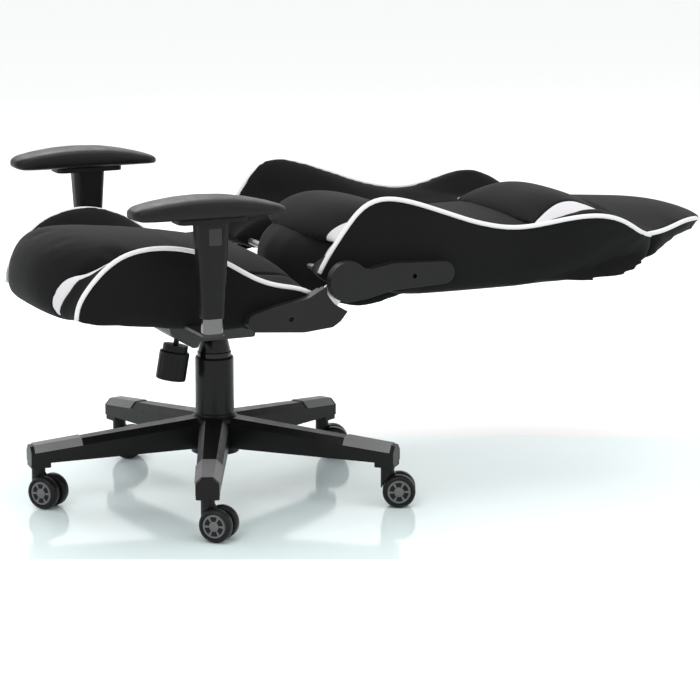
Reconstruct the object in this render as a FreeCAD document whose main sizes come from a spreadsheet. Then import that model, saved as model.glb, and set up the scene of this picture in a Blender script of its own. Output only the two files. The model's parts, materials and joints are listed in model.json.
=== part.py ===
import FreeCAD, Part
import math
import os

# Gaming chair, in millimetres.
# The origin is on the floor under the gas lift. The front of the chair faces -Y,
# the sitter's left is +X and up is +Z. The backrest is reclined flat.

os.makedirs("parts", exist_ok=True)
Vector = FreeCAD.Vector
doc = FreeCAD.newDocument("GamingChair")

# ----------------------------------------------------------------------------
# Driving dimensions
# ----------------------------------------------------------------------------

SIZES = {
    # five star base
    "base_radius": (350, "leg tip from the column axis"),
    "base_turn": (-24, "angle of the first leg from +X"),
    "leg_tip_top": (113, "top of a leg at its tip"),
    "leg_tip_bottom": (82, "underside of a leg at its tip"),
    "leg_foot": (74, "underside of the stem block at the tip"),
    "leg_tip_width": (42, "width of a leg at its tip"),
    "leg_root_width": (54, "width of a leg at the hub"),
    "leg_root_bottom": (90, "underside of a leg at the hub"),
    "leg_bevel": (11, "bevel along the top edges of a leg"),
    "leg_wall": (4, "wall of the hollow leg"),
    "leg_count": (5, "number of legs and casters"),
    "hub_radius": (44, "hub outside"),
    "hub_top": (147, "top of the hub"),
    "stem_reach": (333, "caster stem from the column axis"),
    "stem_radius": (5.5, "caster stem"),
    "grip_length": (88, "ribbed tread on a leg"),
    "grip_height": (1.6, "ribbed tread above the leg"),
    # casters
    "wheel_radius": (30, "caster wheel"),
    "wheel_width": (20, "one of the two wheels"),
    "wheel_gap": (11, "between the two wheels"),
    "caster_trail": (21, "axle behind the stem"),
    "caster_turn_1": (-45, "direction of the first caster, from +Y"),
    "caster_turn_2": (-25, "direction of the second caster, from +Y"),
    "caster_turn_3": (-18, "direction of the third caster, from +Y"),
    "caster_turn_4": (-38, "direction of the fourth caster, from +Y"),
    "caster_turn_5": (-54, "direction of the fifth caster, from +Y"),
    "neck_radius": (12.5, "round neck of a caster fork"),
    "axle_radius": (4, "caster axle"),
    "running_gap": (0.05, "radial gap of a shaft in its bore"),
    # gas lift
    "cylinder_radius": (25, "gas cylinder outside"),
    "cylinder_top": (250, "top of the gas cylinder"),
    "rod_radius": (14, "piston rod"),
    "rod_top": (320, "top of the piston rod"),
    "pin_radius": (4, "release pin in the rod"),
    "pin_stand": (4, "release pin above the rod"),
    "cover_radius": (35.5, "lower cover outside"),
    "cover_top": (256, "top of the lower cover"),
    "cover_wall": (2, "wall of the gas lift covers"),
    "bell_radius": (31.5, "skirt of the upper cover"),
    "bell_neck": (23, "top of the upper cover"),
    "bell_top": (298, "top of the upper cover"),
    # tilt mechanism
    "mech_half": (77, "half width of the mechanism"),
    "mech_floor": (302, "underside of the mechanism at the column"),
    "mech_wall": (3, "sheet steel of the mechanism"),
    "pivot_y": (-45, "tilt shaft from the column"),
    "pivot_z": (324, "height of the tilt shaft"),
    "pivot_radius": (8, "tilt shaft"),
    "knob_y": (-77, "middle of the tension knob's top"),
    "knob_z": (273.5, "height of the tension knob's top"),
    "knob_lean": (10, "lean of the tension knob's axis"),
    "knob_radius": (27.5, "tension knob"),
    "knob_height": (55, "tension knob"),
    "lever_pivot": (-30, "lift lever pivot from the column"),
    # seat
    "seat_datum": (351, "seat underside over the column axis"),
    "seat_rake": (3.5, "backward lean of the seat"),
    "seat_half": (257, "half width of the seat"),
    "seat_core_half": (196, "half width of the seat's middle cushion"),
    "frame_lift": (11.5, "seat frame above the seat underside"),
    "frame_tube": (20, "square tube of the seat frame"),
    "frame_half": (188, "half width of the seat frame"),
    "plate_steel": (3, "sheet steel of the seat plate"),
    # armrests
    "arm_x": (315, "armrest from the middle plane"),
    "arm_y": (-129, "armrest post from the column"),
    "post_long": (36, "post, front to back"),
    "post_wide": (26, "post, side to side"),
    "post_bottom": (364, "underside of the post"),
    "post_top": (545, "top of the post inside the sleeve"),
    "sleeve_bottom": (396, "lower end of the sleeve"),
    "sleeve_top": (564, "upper end of the sleeve"),
    "arm_travel": (70, "height adjustment of an armrest"),
    "pad_front": (-279, "front tip of an arm pad"),
    "pad_back": (8, "rear tip of an arm pad"),
    "pad_half": (45, "half width of an arm pad"),
    # recliner and backrest
    "hinge_y": (144.3, "recline axis from the column"),
    "hinge_z": (431.3, "height of the recline axis"),
    "hinge_disc": (36.5, "round end of the back hinge cover"),
    "plate_x": (262, "inner face of the recliner plates"),
    "recliner_steel": (4, "one recliner plate"),
    "cover_x": (259.5, "inner edge of the hinge covers"),
    "seat_cover_face": (281, "outer face of a seat hinge cover"),
    "back_cover_face": (285, "outer face of a back hinge cover"),
    "hinge_wall": (2.5, "wall of a hinge cover"),
    "sync_radius": (6, "rod that links the two recliners"),
    "back_half": (257, "half width of the backrest at the waist"),
    "back_core_half": (196, "half width of the backrest's middle"),
    "shoulder_half": (282, "half width of the backrest at the shoulders"),
    "frame_pipe": (11, "radius of the backrest tubes"),
}

sheet = doc.addObject("Spreadsheet::Sheet", "Sizes")
for row, (alias, (number, meaning)) in enumerate(SIZES.items(), start=1):
    sheet.set(f"A{row}", alias)
    sheet.set(f"B{row}", str(number))
    sheet.set(f"C{row}", meaning)
    sheet.setAlias(f"B{row}", alias)
doc.recompute()


def size(alias):
    """A driving dimension, read back from the sheet."""
    return float(sheet.get(alias))


# ----------------------------------------------------------------------------
# Helpers: outlines
# ----------------------------------------------------------------------------


def outline(points):
    """A closed flat wire through corners (u, v, radius), rounded as far as the sides allow."""
    count = len(points)
    edges = []
    starts = []
    ends = []
    for index in range(count):
        before = Vector(points[index - 1][0], points[index - 1][1], 0)
        corner = Vector(points[index][0], points[index][1], 0)
        after = Vector(points[(index + 1) % count][0], points[(index + 1) % count][1], 0)
        radius = points[index][2] if len(points[index]) > 2 else 0
        towards_before = (before - corner).normalize()
        towards_after = (after - corner).normalize()
        angle = towards_before.getAngle(towards_after)
        if radius <= 0 or abs(math.pi - angle) < 1e-4:
            starts.append(corner)
            ends.append(corner)
            edges.append(None)
            continue
        room = 0.49 * min(before.distanceToPoint(corner), after.distanceToPoint(corner))
        setback = min(radius / math.tan(angle / 2), room)
        radius = setback * math.tan(angle / 2)
        first = corner + towards_before * setback
        last = corner + towards_after * setback
        bisector = (towards_before + towards_after).normalize()
        centre = corner + bisector * (radius / math.sin(angle / 2))
        middle = centre - bisector * radius
        starts.append(first)
        ends.append(last)
        edges.append(Part.Arc(first, middle, last).toShape())
    wire_edges = []
    for index in range(count):
        if edges[index] is not None:
            wire_edges.append(edges[index])
        here = ends[index]
        there = starts[(index + 1) % count]
        if here.distanceToPoint(there) > 1e-6:
            wire_edges.append(Part.LineSegment(here, there).toShape())
    return Part.Wire(wire_edges)


def circle(u, v, radius):
    """A round flat wire."""
    return Part.Wire([Part.makeCircle(radius, Vector(u, v, 0))])


def rectangle(u_low, v_low, u_high, v_high, radius=0):
    """A rectangular flat wire with rounded corners."""
    corners = [(u_low, v_low), (u_high, v_low), (u_high, v_high), (u_low, v_high)]
    return outline([(u, v, radius) for u, v in corners])


def in_side_plane(wire, x):
    """A flat wire stood up in a plane across the chair: u runs along Y, v along Z."""
    turned = wire.copy()
    turned.Placement = FreeCAD.Placement(Vector(x, 0, 0), SIDE_TURN)
    return turned


SIDE_TURN = FreeCAD.Rotation(Vector(0, 1, 0), Vector(0, 0, 1), Vector(1, 0, 0), "XYZ")


# ----------------------------------------------------------------------------
# Helpers: features
# ----------------------------------------------------------------------------


def bind(feature, prop, expression):
    """Tie a property to the sheet. Names of sizes stand alone in the expression."""
    for alias in sorted(SIZES, key=len, reverse=True):
        expression = replace_word(expression, alias, f"Sizes.{alias}")
    feature.setExpression(prop, expression)


def replace_word(text, word, new):
    """Replace a whole word that has no prefix yet."""
    pieces = []
    position = 0
    while True:
        found = text.find(word, position)
        if found < 0:
            pieces.append(text[position:])
            return "".join(pieces)
        end = found + len(word)
        before = text[found - 1] if found else " "
        after = text[end] if end < len(text) else " "
        whole = not (before.isalnum() or before in "_.") and not (after.isalnum() or after == "_")
        pieces.append(text[position:found] + (new if whole else word))
        position = end


def new_body(label):
    """An empty body, named for its sub-part."""
    body = doc.addObject("PartDesign::Body", label)
    body.Label = label
    return body


def plane_of(body, role):
    """One of a body's own origin planes or axes."""
    return next(item for item in body.Origin.OriginFeatures if item.Role == role)


def sketch_on(body, role, wires, offset=0, name="Outline"):
    """A sketch on an origin plane, moved along its normal, drawn from flat wires."""
    sketch = body.newObject("Sketcher::SketchObject", f"{body.Name}_{name}")
    sketch.AttachmentSupport = [(plane_of(body, role), "")]
    sketch.MapMode = "FlatFace"
    sketch.AttachmentOffset = FreeCAD.Placement(Vector(0, 0, offset), FreeCAD.Rotation())
    for wire in wires:
        for edge in wire.OrderedEdges:
            first = edge.valueAt(edge.FirstParameter)
            last = edge.valueAt(edge.LastParameter)
            halfway = edge.valueAt((edge.FirstParameter + edge.LastParameter) / 2)
            if isinstance(edge.Curve, Part.Line):
                sketch.addGeometry(Part.LineSegment(first, last), False)
            elif edge.isClosed():
                round_edge = Part.Circle(edge.Curve.Center, Vector(0, 0, 1), edge.Curve.Radius)
                sketch.addGeometry(round_edge, False)
            else:
                sketch.addGeometry(Part.Arc(first, halfway, last), False)
    return sketch


def add_pad(body, sketch, length, both_ways=False, backwards=False):
    """Material along the sketch's normal. The length is a formula of sheet sizes."""
    feature = body.newObject("PartDesign::Pad", f"{sketch.Name}_Pad")
    feature.Profile = sketch
    feature.Midplane = both_ways
    feature.Reversed = backwards
    bind(feature, "Length", length)
    sketch.Visibility = False
    return feature


def add_pocket(body, sketch, length, both_ways=False, backwards=False):
    """A cut against the sketch's normal, or along it when backwards."""
    doc.recompute()
    volume = body.Shape.Volume
    feature = body.newObject("PartDesign::Pocket", f"{sketch.Name}_Pocket")
    feature.Profile = sketch
    feature.Midplane = both_ways
    feature.Reversed = backwards
    bind(feature, "Length", length)
    doc.recompute()
    if body.Shape.Volume >= volume - 1e-6:
        raise RuntimeError(f"{feature.Name} cuts nothing")
    return feature


def add_turned(body, wire, name="Turned"):
    """A body of revolution about Z: u is the radius and v the height."""
    sketch = sketch_on(body, "XZ_Plane", [wire], name=name)
    feature = body.newObject("PartDesign::Revolution", f"{sketch.Name}_Revolution")
    feature.Profile = sketch
    feature.ReferenceAxis = (sketch, ["V_Axis"])
    feature.Angle = 360
    return feature


def add_round_pattern(body, features, count):
    """Repeat features about the body's Z axis."""
    pattern = body.newObject("PartDesign::PolarPattern", f"{body.Name}_Pattern")
    pattern.Originals = features
    pattern.Axis = (plane_of(body, "Z_Axis"), [""])
    pattern.Angle = 360
    bind(pattern, "Occurrences", count)
    body.Tip = pattern
    return pattern


def add_rounding(body, feature, radius, chosen):
    """Round the edges of a feature that the test chooses."""
    doc.recompute()
    names = []
    for number, edge in enumerate(feature.Shape.Edges, start=1):
        if chosen(edge):
            names.append(f"Edge{number}")
    fillet = body.newObject("PartDesign::Fillet", f"{feature.Name}_Fillet")
    fillet.Base = (feature, names)
    fillet.Radius = radius
    return fillet


def solid_feature(label, shape):
    """A sub-part whose shape is computed with Part's own functions."""
    feature = doc.addObject("Part::Feature", label)
    feature.Label = label
    feature.Shape = shape
    return feature


def mirrored(label, source):
    """The opposite hand of a sub-part, across the middle plane."""
    feature = doc.addObject("Part::Mirroring", label)
    feature.Label = label
    feature.Source = source
    feature.Base = Vector(0, 0, 0)
    feature.Normal = Vector(1, 0, 0)
    return feature


def side_slab(points, x_low, x_high):
    """A solid of one side outline (Y, Z, radius) between two planes across the chair."""
    face = Part.Face(in_side_plane(outline(points), x_low))
    return face.extrude(Vector(x_high - x_low, 0, 0))


def plan_slab(points, z_low, z_high):
    """A solid of one plan outline (X, Y, radius) between two heights."""
    wire = outline(points)
    wire.translate(Vector(0, 0, z_low))
    return Part.Face(wire).extrude(Vector(0, 0, z_high - z_low))


def block(x_low, x_high, y_low, y_high, z_low, z_high):
    """A box by its two corners."""
    corner = Vector(x_low, y_low, z_low)
    return Part.makeBox(x_high - x_low, y_high - y_low, z_high - z_low, corner)


def bar(start, end, radius):
    """A round bar between two points."""
    along = end - start
    return Part.makeCylinder(radius, along.Length, start, along)


def bent_tube(points, radius, bend):
    """A round tube along straight runs joined by tangent arcs."""
    edges = []
    here = points[0]
    for index in range(1, len(points) - 1):
        corner = points[index]
        towards_before = (points[index - 1] - corner).normalize()
        towards_after = (points[index + 1] - corner).normalize()
        angle = towards_before.getAngle(towards_after)
        setback = bend / math.tan(angle / 2)
        first = corner + towards_before * setback
        last = corner + towards_after * setback
        bisector = (towards_before + towards_after).normalize()
        centre = corner + bisector * (bend / math.sin(angle / 2))
        middle = centre - bisector * bend
        edges.append(Part.LineSegment(here, first).toShape())
        edges.append(Part.Arc(first, middle, last).toShape())
        here = last
    edges.append(Part.LineSegment(here, points[-1]).toShape())
    path = Part.Wire(edges)
    direction = (points[1] - points[0]).normalize()
    profile = Part.Wire([Part.makeCircle(radius, points[0], direction)])
    return path.makePipeShell([profile], True, True)


# ----------------------------------------------------------------------------
# Star base
# ----------------------------------------------------------------------------

GAP = size("running_gap")
LEG_DIRECTIONS = [
    math.radians(size("base_turn") + 360 * leg / size("leg_count"))
    for leg in range(int(size("leg_count")))
]


def leg_section(width, bottom, top, bevel):
    """Across a leg: flat sides and underside, bevelled top edges."""
    half = width / 2
    corners = [
        (-half, bottom),
        (half, bottom),
        (half, top - bevel),
        (half - bevel, top),
        (bevel - half, top),
        (-half, top - bevel),
    ]
    return outline([(u, v, 0) for u, v in corners])


def make_star_base():
    """Hub and five hollow legs, with a bore for the cylinder and sockets for the stems."""
    body = new_body("star_base")
    bore = size("cylinder_radius") + GAP
    hub = [
        (bore, size("leg_foot") + 4),
        (size("hub_radius"), size("leg_foot") + 4),
        (size("hub_radius"), size("hub_top") - 5),
        (size("hub_radius") - 5, size("hub_top")),
        (bore, size("hub_top")),
    ]
    add_turned(body, outline(hub), "Hub")
    root = size("hub_radius") - 8
    tip = size("base_radius")
    bevel = size("leg_bevel")
    outer_sections = [
        (root, size("leg_root_width"), size("leg_root_bottom"), size("hub_top") - 2),
        (tip, size("leg_tip_width"), size("leg_tip_bottom"), size("leg_tip_top")),
    ]
    outer = [
        sketch_on(body, "YZ_Plane", [leg_section(wide, low, high, bevel)], reach, f"Leg{number}")
        for number, (reach, wide, low, high) in enumerate(outer_sections)
    ]
    leg = body.newObject("PartDesign::AdditiveLoft", "Leg_Loft")
    leg.Profile = outer[0]
    leg.Sections = [outer[1]]
    leg.Ruled = True
    wall = size("leg_wall")
    drop = (size("hub_top") - 2 - size("leg_tip_top")) / (tip - root)
    inner = []
    for number, reach in enumerate((root + 22, size("stem_reach") - 24)):
        share = (reach - root) / (tip - root)
        wide = size("leg_root_width") + share * (size("leg_tip_width") - size("leg_root_width"))
        high = size("hub_top") - 2 - drop * (reach - root)
        low = size("leg_tip_bottom") - 6
        section = leg_section(wide - 2 * wall, low, high - wall, bevel - 2)
        inner.append(sketch_on(body, "YZ_Plane", [section], reach, f"Hollow{number}"))
    hollow = body.newObject("PartDesign::SubtractiveLoft", "Leg_Hollow")
    hollow.Profile = inner[0]
    hollow.Sections = [inner[1]]
    hollow.Ruled = True
    half = size("leg_tip_width") / 2
    foot = rectangle(size("stem_reach") - 20, -half, size("base_radius"), half, 5)
    block_sketch = sketch_on(body, "XY_Plane", [foot], size("leg_foot"), "Foot")
    foot_pad = add_pad(body, block_sketch, "leg_tip_bottom - leg_foot + 6")
    socket = sketch_on(
        body, "XY_Plane", [circle(size("stem_reach"), 0, size("stem_radius") + GAP)],
        size("leg_foot") - 1, "Socket",
    )
    bore_cut = add_pocket(body, socket, "leg_tip_top - leg_foot - 5", backwards=True)
    add_round_pattern(body, [leg, hollow, foot_pad, bore_cut], "leg_count")
    turn = FreeCAD.Rotation(Vector(0, 0, 1), size("base_turn"))
    body.Placement = FreeCAD.Placement(Vector(0, 0, 0), turn)
    return body


def leg_measures(reach):
    """Width and top of a leg at a distance from the column axis."""
    root = size("hub_radius") - 8
    share = (reach - root) / (size("base_radius") - root)
    width = size("leg_root_width") + share * (size("leg_tip_width") - size("leg_root_width"))
    high = size("hub_top") - 2
    return width, high + share * (size("leg_tip_top") - high)


def tread_section(reach):
    """Across a tread: a thin saddle over the bevelled top of the leg."""
    width, top = leg_measures(reach)
    bevel = size("leg_bevel")
    thick = size("grip_height")
    inner = width / 2
    low = top - bevel
    corners = [
        (inner + 0.05, low),
        (inner + thick, low),
        (inner + thick, low + 0.4 * thick),
        (inner - bevel + 0.4 * thick, top + thick),
        (bevel - inner - 0.4 * thick, top + thick),
        (-inner - thick, low + 0.4 * thick),
        (-inner - thick, low),
        (-inner - 0.05, low),
        (bevel - inner - 0.02, top + 0.05),
        (inner - bevel + 0.02, top + 0.05),
    ]
    return in_side_plane(outline([(u, v, 0) for u, v in corners]), reach)


def make_leg_grips():
    """Five ribbed treads saddled over the sloping tops of the legs."""
    outer = size("base_radius") - 7
    ends = [tread_section(outer - size("grip_length")), tread_section(outer)]
    tread = Part.makeLoft(ends, True, True)
    solids = []
    for direction in LEG_DIRECTIONS:
        turned = tread.copy()
        turned.rotate(Vector(0, 0, 0), Vector(0, 0, 1), math.degrees(direction))
        solids.append(turned)
    return solid_feature("leg_grips", Part.makeCompound(solids))


# ----------------------------------------------------------------------------
# Casters
# ----------------------------------------------------------------------------


def caster_place(leg):
    """Where a caster stands: its stem over the floor, turned to its own direction."""
    direction = LEG_DIRECTIONS[leg]
    reach = size("stem_reach")
    spot = Vector(reach * math.cos(direction), reach * math.sin(direction), 0)
    turn = FreeCAD.Rotation(Vector(0, 0, 1), size(f"caster_turn_{leg + 1}"))
    return FreeCAD.Placement(spot, turn)


def make_caster_fork(leg):
    """Stem, round neck, the web between the wheels and the axle. The wheels trail towards +Y."""
    body = new_body(f"caster_fork_{leg + 1}")
    radius = size("wheel_radius")
    trail = size("caster_trail")
    foot = size("leg_foot")
    neck = sketch_on(body, "XY_Plane", [circle(0, 0, size("neck_radius"))], radius + 4, "Neck")
    add_pad(body, neck, "leg_foot - wheel_radius - 4.4")
    arch = sketch_on(body, "YZ_Plane", [circle(trail, radius, radius + 1.4)], 0, "Arch")
    add_pocket(body, arch, "4 * neck_radius", both_ways=True)
    web = outline(
        [
            (-8, foot - 12, 3),
            (-9, radius + 10, 6),
            (2, radius - 5, 8),
            (trail - 4, radius - 10, 6),
            (trail + 9, radius - 6, 6),
            (trail + 13, radius + 12, 10),
            (trail - 4, radius + 27, 14),
            (8, foot - 6, 3),
            (-6, foot - 6, 3),
        ]
    )
    side = sketch_on(body, "YZ_Plane", [web], 0, "Web")
    add_pad(body, side, "wheel_gap - 1", both_ways=True)
    stem = sketch_on(body, "XY_Plane", [circle(0, 0, size("stem_radius"))], foot - 8, "Stem")
    add_pad(body, stem, "leg_tip_top - leg_foot + 8 - 12")
    axle = sketch_on(body, "YZ_Plane", [circle(trail, radius, size("axle_radius"))], 0, "Axle")
    add_pad(body, axle, "wheel_gap + 2 * wheel_width - 6", both_ways=True)
    body.Placement = caster_place(leg)
    return body


def make_caster_wheel(leg, side):
    """One twin wheel: tyre, rim and a spoked disc with six windows."""
    name = "a" if side > 0 else "b"
    body = new_body(f"caster_wheel_{leg + 1}{name}")
    radius = size("wheel_radius")
    width = size("wheel_width")
    bore = size("axle_radius") + GAP
    profile = outline(
        [
            (bore, 0, 0),
            (radius * 0.86, 0, 0),
            (radius, 3, 2.5),
            (radius, width - 5, 3),
            (radius * 0.8, width, 2),
            (radius * 0.72, width - 2.5, 0.8),
            (radius * 0.26, width - 1, 0.8),
            (radius * 0.22, width, 0),
            (bore, width, 0),
        ]
    )
    add_turned(body, profile, "Tyre")
    windows = []
    for number in range(6):
        angle = math.radians(60 * number)
        along = Vector(math.cos(angle), math.sin(angle), 0)
        across = Vector(-math.sin(angle), math.cos(angle), 0)
        inner = radius * 0.36
        outer = radius * 0.64
        corners = []
        for reach, half in ((inner, 1.8), (outer, 5.4), (outer, -5.4), (inner, -1.8)):
            point = along * reach + across * half
            corners.append((point.x, point.y, 1.2))
        windows.append(outline(corners))
    cut = sketch_on(body, "XY_Plane", windows, width + 1, "Windows")
    add_pocket(body, cut, "7")
    stand = FreeCAD.Rotation(Vector(0, 1, 0), 90 * side)
    place = Vector(side * size("wheel_gap") / 2, size("caster_trail"), radius)
    body.Placement = caster_place(leg).multiply(FreeCAD.Placement(place, stand))
    return body


# ----------------------------------------------------------------------------
# Gas lift
# ----------------------------------------------------------------------------


def make_gas_cylinder():
    """Outer tube of the gas lift, closed below, with a guide for the rod on top."""
    body = new_body("gas_cylinder")
    outside = size("cylinder_radius")
    guide = size("rod_radius") + GAP
    inside = outside - 4.5
    bottom = size("leg_foot") + 6
    top = size("cylinder_top")
    profile = [
        (0, bottom),
        (outside - 1, bottom),
        (outside, bottom + 12),
        (outside, top),
        (guide, top),
        (guide, top - 22),
        (inside, top - 22),
        (inside, bottom + 6),
        (0, bottom + 6),
    ]
    add_turned(body, outline(profile))
    return body


def make_lower_cover():
    """Tube that hides the gas cylinder, standing on the hub, with a rolled rim."""
    body = new_body("lower_cover")
    outside = size("cover_radius")
    wall = size("cover_wall")
    low = size("hub_top")
    top = size("cover_top")
    profile = [
        (outside - wall, low, 0),
        (outside + 2, low, 0),
        (outside + 2, low + 3, 0),
        (outside, low + 6, 1.5),
        (outside, top - 3, 1.5),
        (outside - 1.5, top, 0),
        (outside - wall, top, 0),
    ]
    add_turned(body, outline(profile))
    return body


def make_piston_rod():
    """Chromed rod with its piston, drilled on top for the release pin."""
    body = new_body("piston_rod")
    radius = size("rod_radius")
    head = size("cylinder_radius") - 4.5 - 0.1
    hole = size("pin_radius") + GAP
    top = size("rod_top")
    profile = [
        (0, 100),
        (head, 100),
        (head, 112),
        (radius, 112),
        (radius, top - 1),
        (radius - 1, top),
        (hole, top),
        (hole, top - 26),
        (0, top - 26),
    ]
    add_turned(body, outline(profile))
    return body


def make_lift_pin():
    """Release pin in the top of the rod."""
    body = new_body("lift_pin")
    low = size("rod_top") - 18
    sketch = sketch_on(body, "XY_Plane", [circle(0, 0, size("pin_radius"))], low, "Pin")
    add_pad(body, sketch, "18 + pin_stand")
    return body


def make_upper_cover():
    """Bell and skirt that slide up out of the lower cover with the rod."""
    body = new_body("upper_cover")
    skirt = size("bell_radius")
    neck = size("bell_neck")
    wall = size("cover_wall")
    low = size("hub_top") + 8
    shoulder = size("cover_top") + 2
    collar = shoulder + 7
    top = size("bell_top")
    profile = [
        (skirt - wall, low, 0),
        (skirt, low, 0),
        (skirt, collar, 1.5),
        (skirt - 1.5, collar + 1.5, 0),
        (neck, top, 1),
        (size("rod_radius") + 0.6, top, 0),
        (size("rod_radius") + 0.6, top - wall, 0),
        (neck - wall, top - wall, 1),
        (skirt - wall - 1, collar, 1),
        (skirt - wall, shoulder, 1),
    ]
    add_turned(body, outline(profile))
    return body


# ----------------------------------------------------------------------------
# Tilt mechanism
# ----------------------------------------------------------------------------

KNOB_TOP = Vector(0, size("knob_y"), size("knob_z"))
KNOB_PLACE = FreeCAD.Placement(KNOB_TOP, FreeCAD.Rotation(Vector(1, 0, 0), -size("knob_lean")))


def make_mechanism_housing():
    """Sheet steel tray with the spring box in front and the socket for the rod."""
    body = new_body("mechanism_tray")
    floor = size("mech_floor")
    wall = size("mech_wall")
    side = outline(
        [
            (-120, 348, 4),
            (-114, 319, 5),
            (-72, 291, 3),
            (-62, 291, 3),
            (-57, floor, 2),
            (50, floor, 8),
            (50, 313, 3),
            (-14, 328, 3),
            (-60, 347, 4),
        ]
    )
    shell = sketch_on(body, "YZ_Plane", [side], 0, "Tray")
    add_pad(body, shell, "2 * mech_half", both_ways=True)
    inside = outline(
        [
            (-120 + wall, 360, 0),
            (-114 + wall, 319 + wall / 2, 3),
            (-71, 291 + wall, 2),
            (-65, 291 + wall, 2),
            (-60, floor + wall, 2),
            (50 - wall, floor + wall, 5),
            (50 - wall, 360, 0),
        ]
    )
    hollow = sketch_on(body, "YZ_Plane", [inside], 0, "Inside")
    add_pocket(body, hollow, "2 * (mech_half - mech_wall)", both_ways=True)
    boss = sketch_on(body, "XY_Plane", [circle(0, 0, 22)], floor + wall - 1, "Socket")
    add_pad(body, boss, "14")
    lug_low = floor + wall - 1
    lugs = [
        rectangle(size("lever_pivot") - 6, 12.5, size("lever_pivot") + 6, 16.5),
        rectangle(size("lever_pivot") - 6, -16.5, size("lever_pivot") + 6, -12.5),
    ]
    for number, lug in enumerate(lugs):
        ear = sketch_on(body, "XY_Plane", [lug], lug_low, f"Lug{number}")
        add_pad(body, ear, "24")
    bore = sketch_on(
        body, "XY_Plane", [circle(0, 0, size("rod_radius") + GAP)], floor + 40, "RodBore"
    )
    add_pocket(body, bore, "60")
    shaft_hole = circle(size("pivot_y"), size("pivot_z"), size("pivot_radius") + GAP)
    hole = sketch_on(body, "YZ_Plane", [shaft_hole], 0, "ShaftHole")
    add_pocket(body, hole, "4 * mech_half", both_ways=True)
    slot = sketch_on(
        body, "YZ_Plane", [rectangle(-12, 314, 12, 350)], -size("mech_half") - 1, "LeverSlot"
    )
    add_pocket(body, slot, "mech_wall + 3", backwards=True)
    ear_hole = sketch_on(
        body, "XZ_Plane", [circle(size("lever_pivot"), 321, 3 + GAP)], 0, "LeverHole"
    )
    add_pocket(body, ear_hole, "40", both_ways=True)
    screw = doc.addObject("Part::Cylinder", "knob_hole")
    bind(screw, "Radius", "5 + running_gap")
    screw.Height = 76
    screw.Placement = KNOB_PLACE
    housing = doc.addObject("Part::Cut", "mechanism_housing")
    housing.Label = "mechanism_housing"
    housing.Base = body
    housing.Tool = screw
    return housing


def make_tilt_shaft():
    """Cross shaft that the seat rocks on, with a head on each end."""
    length = 2 * (size("mech_half") + 9)
    shaft = doc.addObject("Part::Cylinder", "tilt_shaft_rod")
    bind(shaft, "Radius", "pivot_radius")
    shaft.Height = length
    heads = []
    for number, along in enumerate((0, length)):
        head = doc.addObject("Part::Cylinder", f"tilt_shaft_head_{number}")
        bind(head, "Radius", "pivot_radius + 3")
        head.Height = 3
        shift = along - (0 if number else 3)
        head.Placement = shaft_place(shift - length / 2)
        heads.append(head)
    shaft.Placement = shaft_place(-length / 2)
    whole = doc.addObject("Part::MultiFuse", "tilt_shaft")
    whole.Label = "tilt_shaft"
    whole.Shapes = [shaft] + heads
    return whole


def shaft_place(x):
    """On the tilt axis, pointing along +X."""
    turn = FreeCAD.Rotation(Vector(0, 1, 0), 90)
    return FreeCAD.Placement(Vector(x, size("pivot_y"), size("pivot_z")), turn)


def make_tension_spring():
    """Coil spring around the knob's screw, in the spring box."""
    height = 27
    helix = Part.makeHelix(6.6, height, 10)
    profile = Part.Wire([Part.makeCircle(1.8, Vector(10, 0, 0), Vector(0, 1, 0))])
    coil = Part.Wire(helix.Edges).makePipeShell([profile], True, True)
    feature = solid_feature("tension_spring", coil)
    feature.Placement = KNOB_PLACE.multiply(
        FreeCAD.Placement(Vector(0, 0, 37), FreeCAD.Rotation())
    )
    return feature


def make_tension_knob():
    """Fluted knob with its screw, hanging below the spring box."""
    body = new_body("tension_knob")
    height = size("knob_height")
    grip = sketch_on(body, "XY_Plane", [circle(0, 0, size("knob_radius"))], -height, "Grip")
    pad = add_pad(body, grip, "knob_height - 2")
    add_rounding(body, pad, 3, lambda edge: isinstance(edge.Curve, Part.Circle))
    flute = sketch_on(
        body, "XY_Plane", [circle(size("knob_radius") + 2.6, 0, 4)], -height - 1, "Flute"
    )
    cut = add_pocket(body, flute, "knob_height - 8", backwards=True)
    add_round_pattern(body, [cut], "14")
    collar = sketch_on(body, "XY_Plane", [circle(0, 0, 23)], -3, "Collar")
    add_pad(body, collar, "13")
    screw = sketch_on(body, "XY_Plane", [circle(0, 0, 5)], 0, "Screw")
    add_pad(body, screw, "70")
    nut = sketch_on(body, "XY_Plane", [circle(0, 0, 17)], 68, "Washer")
    add_pad(body, nut, "2.5")
    body.Placement = KNOB_PLACE
    return body


def make_lift_lever():
    """Rocking plate over the release pin, its pivot pin, the rod and the paddle."""
    pivot = size("lever_pivot")
    low = size("rod_top") + size("pin_stand") + 0.2
    plate = block(pivot - 24, 8, -8, 8, low, low + 4)
    hub = Part.makeCylinder(6.5, 22, Vector(pivot, -11, 321), Vector(0, 1, 0))
    pin = Part.makeCylinder(3, 36, Vector(pivot, -18, 321), Vector(0, 1, 0))
    start = Vector(pivot - 18, 0, low)
    knee = Vector(-196, 0, 306)
    rod = bar(start, knee, 4)
    paddle = block(-262, -176, -15, 15, -6, 6)
    lengthwise = [edge for edge in paddle.Edges if abs(edge.tangentAt(0).x) > 0.9]
    paddle = paddle.makeFillet(5.6, lengthwise)
    ends = [edge for edge in paddle.Edges if edge.BoundBox.XLength < 0.1]
    paddle = paddle.makeFillet(2.5, ends)
    paddle.translate(Vector(0, 0, 303))
    lever = plate.multiFuse([hub, pin, rod, paddle]).removeSplitter()
    return solid_feature("lift_lever", lever)


# ----------------------------------------------------------------------------
# Seat structure
# ----------------------------------------------------------------------------

RAKE = math.radians(size("seat_rake"))


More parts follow.
